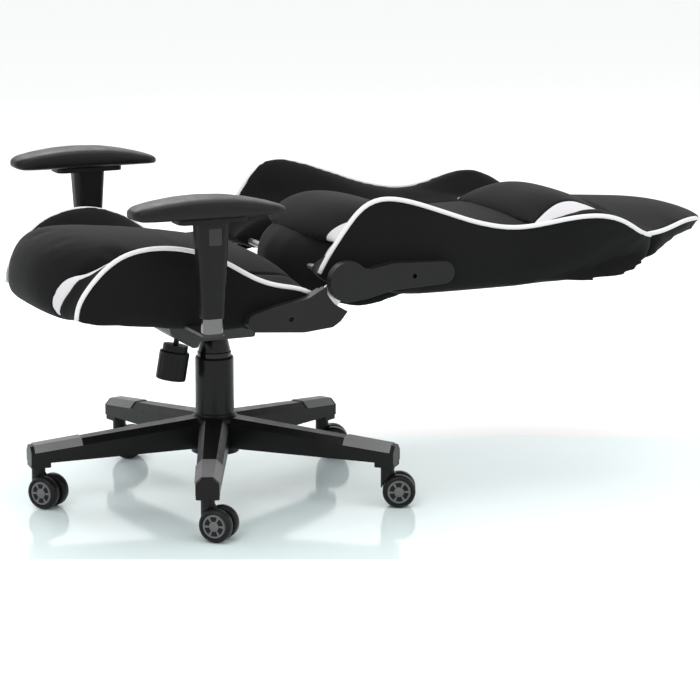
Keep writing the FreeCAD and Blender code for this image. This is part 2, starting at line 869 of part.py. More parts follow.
def seat_z(y, above=0):
    """Height over the floor of a place on the raked seat, above its underside."""
    return size("seat_datum") - y * math.tan(RAKE) + above / math.cos(RAKE)


def raked(points):
    """Side outline given as (y, height above the seat underside, radius)."""
    return [(y, seat_z(y, above), radius) for y, above, radius in points]


def make_seat_plate():
    """Pressed plate that rocks on the tilt shaft and carries the seat frame."""
    top = size("frame_lift") - 0.05
    low = top - size("plate_steel")
    flat = side_slab(raked([(-195, low, 0), (75, low, 0), (75, top, 0), (-195, top, 0)]), -85, 85)
    cheek_inner = size("mech_half") - 11
    cheek_points = [
        (-84, seat_z(-84, low + 1), 0),
        (-57, size("pivot_z") - 13, 8),
        (-32, size("pivot_z") - 13, 8),
        (-10, seat_z(-10, low + 1), 0),
    ]
    right = side_slab(cheek_points, -cheek_inner - 4, -cheek_inner)
    left = side_slab(cheek_points, cheek_inner, cheek_inner + 4)
    start = Vector(-120, size("pivot_y"), size("pivot_z"))
    shaft = Part.makeCylinder(size("pivot_radius") + GAP, 240, start, Vector(1, 0, 0))
    plate = flat.multiFuse([left, right]).cut(shaft)
    for spot in bolt_spots():
        plate = plate.cut(Part.makeCylinder(3.3, 60, spot - Vector(0, 0, 30)))
    return solid_feature("seat_plate", plate.removeSplitter())


def bolt_spots():
    """Where the seat plate is bolted to the frame, on the plate's underside."""
    low = size("frame_lift") - size("plate_steel") - 0.05
    return [Vector(x, y, seat_z(y, low)) for x in (-74, 74) for y in (-176, 46)]


def make_seat_bolts():
    """Four hexagon bolts through the seat plate into the frame's cross tubes."""
    solids = []
    for spot in bolt_spots():
        corners = [
            (6.4 * math.cos(math.radians(60 * n)), 6.4 * math.sin(math.radians(60 * n)), 0)
            for n in range(6)
        ]
        head = plan_slab(corners, -4.6, -0.2)
        shank = Part.makeCylinder(3, 10, Vector(0, 0, -1))
        bolt = head.fuse(shank)
        bolt.rotate(Vector(0, 0, 0), Vector(1, 0, 0), -size("seat_rake"))
        bolt.translate(spot)
        solids.append(bolt)
    return solid_feature("seat_bolts", Part.makeCompound(solids))


def make_seat_frame():
    """Welded square tube: a rectangle, two cross tubes and a long rear tube."""
    low = size("frame_lift")
    tube = size("frame_tube")
    half = size("frame_half")
    across = [(-300, half), (-186, half - 2), (26, size("plate_x") - 0.5)]
    pieces = []
    for front, reach in across:
        side = raked(
            [(front, low, 2), (front + tube, low, 2), (front + tube, low + tube, 2), (front, low + tube, 2)]
        )
        pieces.append(side_slab(side, -reach, reach))
    long_side = raked([(-300, low, 0), (46, low, 0), (46, low + tube, 0), (-300, low + tube, 0)])
    for x_low in (-half, half - tube):
        pieces.append(side_slab(long_side, x_low, x_low + tube))
    frame = pieces[0].multiFuse(pieces[1:])
    for spot in bolt_spots():
        hole = Part.makeCylinder(3.6, 16, Vector(0, 0, -1))
        hole.rotate(Vector(0, 0, 0), Vector(1, 0, 0), -size("seat_rake"))
        hole.translate(spot)
        frame = frame.cut(hole)
    return solid_feature("seat_frame", frame)


# ----------------------------------------------------------------------------
# Seat cushions
# ----------------------------------------------------------------------------


def seat_wing_side():
    """Side outline of the seat from the outside: the raised wing and the underside."""
    return [
        (-366, 382, 14),
        (-352, 420, 30),
        (-312, 470, 60),
        (-262, 501, 50),
        (-190, 511, 60),
        (-128, 503, 60),
        (-60, 471, 60),
        (-8, 438, 60),
        (34, 426, 30),
        (64, 421, 16),
        (86, 405, 8),
        (86, 388, 5),
        (-49, 388, 4),
        (-49, 354.5, 6),
        (-106, 358, 0),
        (-106, 372, 0),
        (-152, 372, 0),
        (-152, 361, 0),
        (-204, 364, 60),
        (-340, 375, 20),
    ]


def seat_core_side():
    """Side outline of the middle cushion over the frame."""
    return [
        (-378, 386, 14),
        (-392, 432, 60),
        (-364, 496, 40),
        (-300, 508, 60),
        (-150, 498, 120),
        (-36, 481, 90),
        (28, 458, 40),
        (80, 408, 8),
        (80, seat_z(80, 34), 4),
        (-306, seat_z(-306, 34), 3),
        (-309, seat_z(-309, 6), 3),
        (-352, 371, 8),
    ]


def seat_plan():
    """Plan outline of the whole seat."""
    half = size("seat_half")
    right = [
        (half - 6, 92, 10),
        (half, 0, 60),
        (half, -240, 80),
        (half - 14, -346, 50),
        (half - 84, -378, 60),
        (0, -394, 400),
    ]
    left = [(-x, y, radius) for x, y, radius in reversed(right[:-1])]
    return right + left


def make_seat_cushions():
    """The middle cushion and the two side bolsters."""
    plan = plan_slab(seat_plan(), 330, 540)
    core_half = size("seat_core_half")
    whole_core = side_slab(seat_core_side(), -core_half, core_half)
    core = solid_feature("seat_cushion", whole_core.common(plan))
    wing = side_slab(seat_wing_side(), core_half + 0.4, size("seat_half") + 1)
    bolster = solid_feature("seat_bolster_left", wing.common(plan))
    mirrored("seat_bolster_right", bolster)
    return core


# ----------------------------------------------------------------------------
# Armrests
# ----------------------------------------------------------------------------


def oval(long, wide, radius):
    """Plan outline of an armrest post or sleeve about its own axis."""
    return rectangle(-wide / 2, -long / 2, wide / 2, long / 2, radius)


def make_armrest_bracket():
    """Flat bar from the seat frame out to the post."""
    low = size("post_bottom")
    high = low + 5
    half = size("post_long") / 2 + 2
    x_low = 112
    x_high = size("arm_x") + size("post_wide") / 2 + 1
    plan = rectangle(x_low, size("arm_y") - half, x_high, size("arm_y") + half, 9)
    plan.translate(Vector(0, 0, low))
    plate = Part.Face(plan).extrude(Vector(0, 0, high - low))
    for x in (140, 176):
        plate = plate.cut(Part.makeCylinder(4.2, 30, Vector(x, size("arm_y"), low - 5)))
    left = solid_feature("armrest_bracket_left", plate)
    mirrored("armrest_bracket_right", left)


def make_armrest_post():
    """Chromed oval tube, welded on the bracket."""
    body = new_body("armrest_post_left")
    outside = oval(size("post_long"), size("post_wide"), 9)
    inside = oval(size("post_long") - 4, size("post_wide") - 4, 7)
    sketch = sketch_on(body, "XY_Plane", [outside, inside], size("post_bottom") + 5, "Tube")
    add_pad(body, sketch, "post_top - post_bottom - 5")
    body.Placement = FreeCAD.Placement(Vector(size("arm_x"), size("arm_y"), 0), FreeCAD.Rotation())
    doc.recompute()
    mirrored("armrest_post_right", body)


def make_armrest_sleeve():
    """Tapered plastic sleeve with the mounting plate of the pad on top."""
    body = new_body("armrest_sleeve_left")
    low = size("sleeve_bottom")
    high = size("sleeve_top")
    below = sketch_on(body, "XY_Plane", [oval(41, 32, 12)], low, "Below")
    above = sketch_on(body, "XY_Plane", [oval(61, 44, 16)], high, "Above")
    taper = body.newObject("PartDesign::AdditiveLoft", "Sleeve_Taper")
    taper.Profile = below
    taper.Sections = [above]
    taper.Ruled = True
    plate = sketch_on(body, "XY_Plane", [rectangle(-27, -66, 27, 62, 14)], high, "Plate")
    add_pad(body, plate, "8")
    bore = oval(size("post_long") + 0.8, size("post_wide") + 0.8, 9.4)
    hollow = sketch_on(body, "XY_Plane", [bore], low - 1, "Bore")
    add_pocket(body, hollow, "post_top - sleeve_bottom + 8", backwards=True)
    window = sketch_on(body, "YZ_Plane", [rectangle(-12.5, 524, 12.5, 555, 3)], 10, "Window")
    add_pocket(body, window, "20", backwards=True)
    body.Placement = FreeCAD.Placement(Vector(size("arm_x"), size("arm_y"), 0), FreeCAD.Rotation())
    doc.recompute()
    mirrored("armrest_sleeve_right", body)


def make_armrest_pad():
    """Bowed soft pad, thick in the middle and thin at its tips."""
    front = size("pad_front")
    back = size("pad_back")
    half = size("pad_half")
    under = size("sleeve_top") + 8
    side = [
        (front, under + 12, 6),
        (front + 30, under + 31, 40),
        (front + 110, under + 39, 120),
        (front + 190, under + 34, 120),
        (back - 20, under + 20, 20),
        (back, under + 9, 4),
        (back - 6, under - 1, 4),
        (back - 60, under + 0.05, 0),
        (front + 70, under + 0.05, 0),
        (front + 8, under + 1, 8),
    ]
    profile = side_slab(side, -half, half)
    plan_points = [
        (-half, front + 62, 60),
        (-half * 0.55, front - 2, 22),
        (half * 0.55, front - 2, 22),
        (half, front + 62, 60),
        (half, back - 90, 90),
        (half * 0.6, back + 2, 20),
        (-half * 0.6, back + 2, 20),
        (-half, back - 90, 90),
    ]
    plan = plan_slab(plan_points, under - 20, under + 60)
    pad = profile.common(plan)
    pad.translate(Vector(size("arm_x"), 0, 0))
    left = solid_feature("armrest_pad_left", pad)
    mirrored("armrest_pad_right", left)


def make_armrest_button():
    """Latch button in the outer face of the sleeve."""
    body = new_body("armrest_button_left")
    face = rectangle(-12, 524.5, 12, 554.5, 2.6)
    sketch = sketch_on(body, "YZ_Plane", [face], 16.4, "Face")
    add_pad(body, sketch, "4.2")
    body.Placement = FreeCAD.Placement(Vector(size("arm_x"), size("arm_y"), 0), FreeCAD.Rotation())
    doc.recompute()
    mirrored("armrest_button_right", body)


# ----------------------------------------------------------------------------
# Recliner
# ----------------------------------------------------------------------------

HINGE = (size("hinge_y"), size("hinge_z"))


def seat_cover_side():
    """Side outline of the plastic cover on the seat's half of the hinge."""
    y, z = HINGE
    return [
        (-47, 368, 8),
        (-45, 384, 10),
        (2, 396, 30),
        (68, 408, 40),
        (y - 41, z - 4.5, 4),
        (y - 40.5, z - 20, 14),
        (y - 27, z - 38, 30),
        (y - 1, z - 53, 1.5),
        (y - 15, z - 70, 8),
        (y - 30, 352, 10),
        (60, 347, 60),
        (-36, 355, 10),
    ]


def back_cover_wire(inset):
    """The back cover's outline, moved inwards."""
    y, z = HINGE
    reach = size("hinge_disc") - inset
    start = math.radians(38)
    end = math.radians(282)
    middle = (start + end) / 2

    def on_disc(angle):
        return Vector(y + reach * math.cos(angle), z + reach * math.sin(angle), 0)

    arc = Part.Arc(on_disc(start), on_disc(middle), on_disc(end)).toShape()
    def on_arm(along, above):
        return Vector(y + along, z + above, 0)

    def straight_run(points):
        return [Part.LineSegment(a, b).toShape() for a, b in zip(points[:-1], points[1:])]

    below = on_arm(186, -17 + inset)
    above = on_arm(186, 23 - inset)
    edges = [arc]
    edges += straight_run(
        [on_disc(end), on_arm(34, -33 + inset), on_arm(84, -21.5 + inset), below]
    )
    edges.append(Part.Arc(below, on_arm(206 - inset, 3), above).toShape())
    edges += straight_run([above, on_arm(88, 27 - inset), on_arm(44, 19.5 - inset), on_disc(start)])
    return Part.Wire(edges)


def hollow_cover(label, outer, inner, x_low, x_high, screw):
    """A shallow cover, open towards the chair, with one screw hole."""
    wall = size("hinge_wall")
    skin = Part.Face(in_side_plane(outer, x_low)).extrude(Vector(x_high - x_low, 0, 0))
    room = Part.Face(in_side_plane(inner, x_low - 1))
    room = room.extrude(Vector(x_high - wall - x_low + 1, 0, 0))
    hole = Part.makeCylinder(4.5, 60, Vector(x_low - 5, screw[0], screw[1]), Vector(1, 0, 0))
    cover = skin.cut(room).cut(hole)
    rim = [
        edge
        for edge in cover.Edges
        if abs(edge.BoundBox.XMin - x_high) < 1e-3 and edge.BoundBox.XLength < 1e-3
    ]
    rim = [edge for edge in rim if not is_circle_at(edge, screw)]
    try:
        rounded = cover.makeFillet(1.6, rim)
        if rounded.isValid():
            cover = rounded
    except Exception:
        print(label, "keeps its sharp rim")
    near_disc = Part.makeCylinder(
        size("hinge_disc") + 16, 7, Vector(x_low - 0.1, HINGE[0], HINGE[1]), Vector(1, 0, 0)
    )
    cover = cover.cut(near_disc)
    return solid_feature(label, cover)


def is_circle_at(edge, spot):
    """Whether an edge is the rim of the screw hole."""
    centre = edge.CenterOfMass
    return abs(centre.y - spot[0]) < 0.5 and abs(centre.z - spot[1]) < 0.5


def make_hinge_covers():
    """Both covers on the left, and their mirror images."""
    outer = outline(seat_cover_side())
    inner = outer.makeOffset2D(-size("hinge_wall"))
    seat_cover = hollow_cover(
        "seat_hinge_cover_left", outer, inner, size("cover_x"), size("seat_cover_face"), (34, 373)
    )
    mirrored("seat_hinge_cover_right", seat_cover)
    outer = back_cover_wire(0)
    inner = outer.makeOffset2D(-size("hinge_wall"))
    spot = (HINGE[0] + 127, HINGE[1] + 1)
    back_cover = hollow_cover(
        "back_hinge_cover_left", outer, inner, size("cover_x"), size("back_cover_face"), spot
    )
    right = back_cover.Shape.mirror(Vector(0, 0, 0), Vector(1, 0, 0))
    start = Vector(-size("back_cover_face") - 1, HINGE[0], HINGE[1])
    passage = Part.makeCylinder(size("sync_radius") + 0.5, 60, start, Vector(1, 0, 0))
    solid_feature("back_hinge_cover_right", right.cut(passage))


def make_recliner_plates():
    """Steel plates of the recliner: one on the seat frame, one on the back frame."""
    y, z = HINGE
    inner = size("plate_x")
    steel = size("recliner_steel")
    base = [
        (-30, 362, 6),
        (-28, 378, 6),
        (70, 398, 10),
        (y - 30, z - 2, 6),
        (y - 18, z + 20, 10),
        (y + 18, z + 20, 10),
        (y + 22, z - 8, 10),
        (y - 4, z - 30, 6),
        (y - 28, z - 60, 8),
        (70, 358, 8),
    ]
    fixed = side_slab(base, inner, inner + steel)
    start = Vector(inner - 10, y, z)
    bore = Part.makeCylinder(size("sync_radius") + GAP, 60, start, Vector(1, 0, 0))
    fixed = fixed.cut(bore)
    left = solid_feature("recliner_base_left", fixed)
    mirrored("recliner_base_right", left)
    arm = [
        (y - 20, z - 16, 12),
        (y - 20, z + 18, 12),
        (y + 22, z + 20, 12),
        (y + 60, z + 12, 12),
        (y + 188, z + 14, 8),
        (y + 188, z - 10, 8),
        (y + 60, z - 12, 12),
        (y + 22, z - 22, 12),
        (y - 8, z - 24, 12),
    ]
    moving = side_slab(arm, inner + steel + 0.3, inner + 2 * steel + 0.3)
    moving = moving.cut(bore)
    left = solid_feature("recliner_arm_left", moving)
    mirrored("recliner_arm_right", left)


def make_sync_rod():
    """Rod along the recline axis that links the two recliners."""
    rod = doc.addObject("Part::Cylinder", "sync_rod")
    rod.Label = "sync_rod"
    bind(rod, "Radius", "sync_radius")
    reach_left = size("plate_x") + 2 * size("recliner_steel") + 3
    reach_right = size("back_cover_face") + 2
    rod.Height = reach_left + reach_right
    turn = FreeCAD.Rotation(Vector(0, 1, 0), 90)
    rod.Placement = FreeCAD.Placement(Vector(-reach_right, HINGE[0], HINGE[1]), turn)


def make_recline_lever():
    """Cranked handle on the right end of the rod."""
    y, z = HINGE
    face = -size("back_cover_face") - 2.2
    hub = Part.makeCylinder(13, 9, Vector(face, y, z), Vector(-1, 0, 0))
    blade = [
        (y - 6, z + 11, 4),
        (y - 60, z + 4, 30),
        (y - 150, z - 2, 8),
        (y - 156, z - 14, 8),
        (y - 146, z - 24, 8),
        (y - 60, z - 20, 30),
        (y - 2, z - 12, 4),
    ]
    arm = side_slab(blade, face - 9, face - 0.5)
    lever = hub.fuse(arm).removeSplitter()
    socket = Part.makeCylinder(size("sync_radius") + 0.02, 4, Vector(face + 1, y, z), Vector(-1, 0, 0))
    lever = lever.cut(socket)
    solid_feature("recline_lever", lever)


# ----------------------------------------------------------------------------
# Backrest
# ----------------------------------------------------------------------------


def make_back_frame():
    """Hoop of round tube with a lower cross tube between the recliner arms."""
    pipe = size("frame_pipe")
    y, z = HINGE
    side = 172
    hoop = bent_tube(
        [
            Vector(side, y + 84, 416),
            Vector(side, 300, 406),
            Vector(side, 640, 409),
            Vector(96, 800, 436),
            Vector(-96, 800, 436),
            Vector(-side, 640, 409),
            Vector(-side, 300, 406),
            Vector(-side, y + 84, 416),
        ],
        pipe,
        46,
    )
    reach = size("plate_x") + size("recliner_steel")
    cross = bar(Vector(-reach, y + 84, z - 6), Vector(reach, y + 84, z - 6), 10)
    middle = bar(Vector(-side, 480, 407.6), Vector(side, 480, 407.6), 8)
    frame = cross.multiFuse([hoop, middle])
    solid_feature("back_frame", frame)


def back_wing_side():
    """Side outline of the backrest's wings, lying flat."""
    return [
        (104, 443, 6),
        (124, 480, 30),
        (150, 522, 60),
        (190, 562, 34),
        (240, 570, 50),
        (330, 542, 90),
        (430, 506, 90),
        (500, 498, 90),
        (560, 508, 90),
        (620, 524, 60),
        (690, 514, 50),
        (736, 482, 20),
        (744, 446, 8),
        (740, 414, 8),
        (676, 398, 60),
        (530, 388, 90),
        (362, 387, 60),
        (243, 394, 8),
        (243, 443, 4),
    ]


def back_core_side():
    """Side outline of the middle of the backrest, over the frame."""
    return [
        (106, 446, 6),
        (122, 472, 16),
        (150, 499, 30),
        (205, 505, 60),
        (400, 490, 120),
        (560, 494, 120),
        (735, 494, 120),
        (850, 484, 120),
        (950, 468, 60),
        (1014, 445, 12),
        (1000, 444, 6),
        (880, 452, 60),
        (800, 451, 40),
        (640, 424, 90),
        (262, 421, 8),
        (254, 446, 6),
    ]


def back_plan():
    """Plan outline of the backrest."""
    half = size("back_half")
    shoulder = size("shoulder_half")
    right = [
        (half - 8, 100, 20),
        (half, 240, 90),
        (half, 500, 90),
        (shoulder, 610, 80),
        (shoulder, 690, 40),
        (shoulder - 22, 740, 30),
        (190, 768, 60),
        (152, 840, 80),
        (140, 950, 70),
        (96, 1016, 60),
    ]
    left = [(-x, y, radius) for x, y, radius in reversed(right)]
    return right + left


def make_back_cushions():
    """Middle, wings, lumbar pad, head pad and the cover behind the frame."""
    plan = plan_slab(back_plan(), 360, 620)
    core_half = size("back_core_half")
    core = side_slab(back_core_side(), -core_half, core_half).common(plan)
    core = core.cut(doc.getObject("back_frame").Shape)
    solid_feature("back_cushion", core)
    wing = side_slab(back_wing_side(), core_half + 0.4, size("shoulder_half") + 1).common(plan)
    left = solid_feature("back_bolster_left", wing)
    mirrored("back_bolster_right", left)
    lumbar = [
        (142, 501.5, 4),
        (160, 522, 30),
        (205, 537, 40),
        (262, 537, 50),
        (340, 516, 60),
        (396, 496, 4),
        (396, 493.5, 0),
        (206, 508, 40),
        (156, 503, 4),
    ]
    solid_feature("lumbar_pad", side_slab(lumbar, -155, 155))
    head = [
        (560, 499.5, 4),
        (586, 518, 24),
        (630, 528, 30),
        (672, 526, 30),
        (712, 512, 24),
        (738, 498.5, 4),
        (735, 496, 0),
        (565, 495.5, 0),
    ]
    solid_feature("head_pad", side_slab(head, -126, 126))
    cover_points = [
        (246, 390, 0),
        (362, 386, 60),
        (530, 387, 90),
        (676, 397, 60),
        (740, 406, 60),
        (800, 416, 60),
        (880, 436, 60),
        (1008, 441, 4),
        (1004, 443.6, 0),
        (880, 449, 60),
        (800, 423, 60),
        (740, 411, 60),
        (676, 402, 60),
        (530, 392, 90),
        (362, 391, 60),
        (246, 395, 0),
    ]
    panel = side_slab(cover_points, -core_half, core_half).common(plan)
    panel = panel.cut(doc.getObject("back_frame").Shape)
    solid_feature("back_panel", panel)


# ----------------------------------------------------------------------------
# The chair
# ----------------------------------------------------------------------------

make_star_base()
make_leg_grips()
for leg_number in range(int(size("leg_count"))):
    make_caster_fork(leg_number)
    for wheel_side in (1, -1):
        make_caster_wheel(leg_number, wheel_side)
make_gas_cylinder()
make_lower_cover()
make_piston_rod()
make_lift_pin()
make_upper_cover()
make_mechanism_housing()
make_tilt_shaft()
make_tension_spring()
make_tension_knob()
make_lift_lever()
make_seat_plate()
make_seat_frame()
make_seat_bolts()
make_seat_cushions()
make_armrest_bracket()
make_armrest_post()
make_armrest_sleeve()
make_armrest_pad()
make_armrest_button()
make_hinge_covers()
make_recliner_plates()
make_sync_rod()
make_recline_lever()
make_back_frame()
make_back_cushions()
doc.recompute()

NODES = [
    "star_base", "leg_grips", "gas_cylinder", "lower_cover",
    "piston_rod", "upper_cover", "lift_pin",
    "mechanism_housing", "tilt_shaft", "tension_spring", "tension_knob", "lift_lever",
    "seat_plate", "seat_frame", "seat_bolts", "seat_cushion",
    "back_frame", "back_cushion", "lumbar_pad", "head_pad", "back_panel",
    "sync_rod", "recline_lever",
]
PAIRS = [
    "seat_bolster", "armrest_bracket", "armrest_post", "armrest_sleeve", "armrest_pad",
    "armrest_button", "seat_hinge_cover", "recliner_base", "recliner_arm",
    "back_hinge_cover", "back_bolster",
]
for pair in PAIRS:
    NODES += [f"{pair}_left", f"{pair}_right"]
for leg_number in range(1, int(size("leg_count")) + 1):
    NODES.append(f"caster_fork_{leg_number}")
    NODES += [f"caster_wheel_{leg_number}a", f"caster_wheel_{leg_number}b"]

for item in doc.Objects:
    if "Invalid" in item.State or "Error" in item.State:
        raise RuntimeError(f"{item.Label} did not build: {item.State}")
by_label = {item.Label: item for item in doc.Objects}
for node in NODES:
    shape = by_label[node].Shape
    if shape.isNull() or not shape.isValid() or shape.Volume <= 0:
        raise RuntimeError(f"{node} has no sound shape")
for node in NODES:
    by_label[node].Shape.exportStep(f"parts/{node}.step")
print(len(NODES), "nodes written")
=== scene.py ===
"""Gaming chair with a reclined back: upholstery, finishes, stage and camera."""

import json
import logging
import math
from dataclasses import dataclass
from enum import Enum
from typing import Callable, Iterable, Sequence

import bmesh
import bpy
from mathutils import Matrix, Vector
from mathutils.bvhtree import BVHTree


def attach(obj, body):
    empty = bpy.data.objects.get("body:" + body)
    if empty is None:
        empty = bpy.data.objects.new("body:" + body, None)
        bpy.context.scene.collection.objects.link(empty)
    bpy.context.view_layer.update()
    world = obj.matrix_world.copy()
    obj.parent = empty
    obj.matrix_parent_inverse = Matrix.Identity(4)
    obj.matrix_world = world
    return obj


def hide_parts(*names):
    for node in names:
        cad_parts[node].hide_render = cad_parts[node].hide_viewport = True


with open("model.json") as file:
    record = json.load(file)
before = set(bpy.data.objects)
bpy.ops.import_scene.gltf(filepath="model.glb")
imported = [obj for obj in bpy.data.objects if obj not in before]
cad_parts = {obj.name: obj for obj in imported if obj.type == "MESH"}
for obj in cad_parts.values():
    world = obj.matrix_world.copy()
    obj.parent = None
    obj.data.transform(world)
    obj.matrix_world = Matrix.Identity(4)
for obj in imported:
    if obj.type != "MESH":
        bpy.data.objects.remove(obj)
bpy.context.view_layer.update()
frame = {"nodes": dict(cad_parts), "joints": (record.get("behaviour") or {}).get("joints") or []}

logging.basicConfig(level=logging.INFO, format="%(name)s: %(message)s")
LOG = logging.getLogger("chair")

Outline = list[tuple[float, float]]
Holding = Callable[[Vector], float]

CORD_RADIUS = 0.0042
CORD_PROUD = 0.0012
SEAM_HOLD = 0.012
SEAM_SHARE = 0.765


class Side(Enum):
    """The two sides of the chair, with the sign of their X."""

    LEFT = 1
    RIGHT = -1

    @property
    def word(self) -> str:
        """Returns: the side's word in node and body names."""
        return self.name.lower()


# ---------------------------------------------------------------------------
# Finishes
# ---------------------------------------------------------------------------


class Graph:
    """A small builder for one material's shader nodes."""

    def __init__(self, name: str) -> None:
        """Starts an empty material with one Principled shader.

        Args:
            name: the material's name.
        """
        self.material = bpy.data.materials.new(name)
        self.material.use_nodes = True
        self.tree = self.material.node_tree
        self.shader = self.tree.nodes["Principled BSDF"]

    def node(self, kind: str, **inputs: object) -> bpy.types.Node:
        """Adds a node and fills in its inputs.

        Args:
            kind: the node's type, such as ShaderNodeTexNoise.
            inputs: values or sockets by input name, with _ for a space.

        Returns:
            The new node.
        """
        made = self.tree.nodes.new(kind)
        for key, value in inputs.items():
            self.feed(made.inputs[key.replace("_", " ")], value)
        return made

    def feed(self, socket: bpy.types.NodeSocket, value: object) -> None:
        """Links a socket to another or sets its constant.

        Args:
            socket: the input to feed.
            value: an output socket or a constant.
        """
        if isinstance(value, bpy.types.NodeSocket):
            self.tree.links.new(value, socket)
        else:
            socket.default_value = value

    def place(self, stretch: Sequence[float] = (1, 1, 1)) -> bpy.types.NodeSocket:
        """Object coordinates, stretched along the axes.

        Args:
            stretch: scale along X, Y and Z.

        Returns:
            The vector socket.
        """
        coordinates = self.tree.nodes.new("ShaderNodeTexCoord")
        mapping = self.node("ShaderNodeMapping", Vector=coordinates.outputs["Object"])
        mapping.inputs["Scale"].default_value = stretch
        return mapping.outputs["Vector"]

    def noise(
        self, scale: float, detail: float = 2, stretch: Sequence[float] = (1, 1, 1)
    ) -> bpy.types.NodeSocket:
        """Noise over the object.

        Args:
            scale: features per metre.
            detail: octaves.
            stretch: scale along X, Y and Z.

        Returns:
            The noise's value socket.
        """
        made = self.node(
            "ShaderNodeTexNoise", Vector=self.place(stretch), Scale=scale, Detail=detail
        )
        return made.outputs[0]

    def ranged(
        self, value: object, low: float, high: float, out_low: float, out_high: float
    ) -> bpy.types.NodeSocket:
        """Maps a value from one range to another, clamped.

        Args:
            value: the socket to map.
            low: lower end of the input.
            high: upper end of the input.
            out_low: output at the lower end.
            out_high: output at the upper end.

        Returns:
            The mapped socket.
        """
        made = self.tree.nodes.new("ShaderNodeMapRange")
        self.feed(made.inputs["Value"], value)
        for key, number in zip(
            ("From Min", "From Max", "To Min", "To Max"), (low, high, out_low, out_high)
        ):
            made.inputs[key].default_value = number
        return made.outputs[0]

    def mix(self, share: object, first: object, second: object) -> bpy.types.NodeSocket:
        """Mixes two colours.

        Args:
            share: how much of the second, from 0 to 1.
            first: a colour or socket.
            second: a colour or socket.

        Returns:
            The mixed colour socket.
        """
        made = self.tree.nodes.new("ShaderNodeMix")
        made.data_type = "RGBA"
        self.feed(made.inputs[0], share)
        self.feed(made.inputs[6], first)
        self.feed(made.inputs[7], second)
        return made.outputs[2]

    def maths(self, operation: str, first: object, second: object = 0.0) -> bpy.types.NodeSocket:
        """One arithmetic step.

        Args:
            operation: Blender's name of it.
            first: a socket or number.
            second: a socket or number.

        Returns:
            The result's socket.
        """
        made = self.tree.nodes.new("ShaderNodeMath")
        made.operation = operation
        self.feed(made.inputs[0], first)
        self.feed(made.inputs[1], second)
        return made.outputs[0]

    def bump(self, height: object, depth: float, strength: float = 1.0) -> None:
        """Adds relief to the shader.

        Args:
            height: the height socket, from 0 to 1.
            depth: metres at height 1.
            strength: how much of it is used.
        """
        made = self.node("ShaderNodeBump", Height=height, Distance=depth, Strength=strength)
        self.feed(self.shader.inputs["Normal"], made.outputs[0])

    def surface(self, **inputs: object) -> None:
        """Feeds the Principled shader.

        Args:
            inputs: values or sockets by input name, with _ for a space.
        """
        for key, value in inputs.items():
            self.feed(self.shader.inputs[key.replace("_", " ")], value)


def grey(value: float, tint: Sequence[float] = (1, 1, 1)) -> tuple[float, float, float, float]:
    """A grey, slightly tinted.

    Args:
        value: brightness, linear.
        tint: factor for red, green and blue.

    Returns:
        The colour with alpha 1.
    """
    return tuple(value * t for t in tint) + (1.0,)


@dataclass(frozen=True)
class Plastic:
    """Moulded plastic with a fine grain and slight wear."""

    name: str
    value: float
    roughness: float = 0.42
    grain: float = 1400
    depth: float = 0.00006
    coat: float = 0.0
    shine: float = 0.17

    def material(self) -> bpy.types.Material:
        """Returns: the material."""
        g = Graph(self.name)
        cloud = g.noise(14, 4)
        colour = g.mix(cloud, grey(self.value * 0.86), grey(self.value * 1.15, (1, 1, 1.03)))
        rough = g.ranged(g.noise(36, 5), 0.3, 0.7, self.roughness - 0.05, self.roughness + 0.07)
        g.surface(Base_Color=colour, Roughness=rough, Coat_Weight=self.coat)
        g.surface(Coat_Roughness=0.12, Specular_IOR_Level=self.shine)
        g.bump(g.noise(self.grain, 2), self.depth, 0.6)
        return g.material


@dataclass(frozen=True)
class Metal:
    """Bare or plated metal with fine brushing along Z."""

    name: str
    value: float
    roughness: float
    brushing: float = 0.00002

    def material(self) -> bpy.types.Material:
        """Returns: the material."""
        g = Graph(self.name)
        lines = g.noise(900, 2, (1, 1, 0.03))
        colour = g.mix(g.noise(9, 3), grey(self.value * 0.92), grey(self.value, (1, 1, 1.02)))
        rough = g.ranged(lines, 0.3, 0.7, self.roughness * 0.8, self.roughness * 1.3)
        g.surface(Base_Color=colour, Metallic=1.0, Roughness=rough)
        g.bump(lines, self.brushing, 0.5)
        return g.material


@dataclass(frozen=True)
class PowderCoat:
    """Black powder coat on steel with its orange-peel relief."""

    name: str
    value: float

    def material(self) -> bpy.types.Material:
        """Returns: the material."""
        g = Graph(self.name)
        speck = g.noise(700, 3)
        colour = g.mix(g.noise(20, 3), grey(self.value), grey(self.value * 1.35))
        g.surface(Base_Color=colour, Roughness=g.ranged(speck, 0.3, 0.7, 0.38, 0.52))
        g.bump(speck, 0.00015, 0.5)
        return g.material


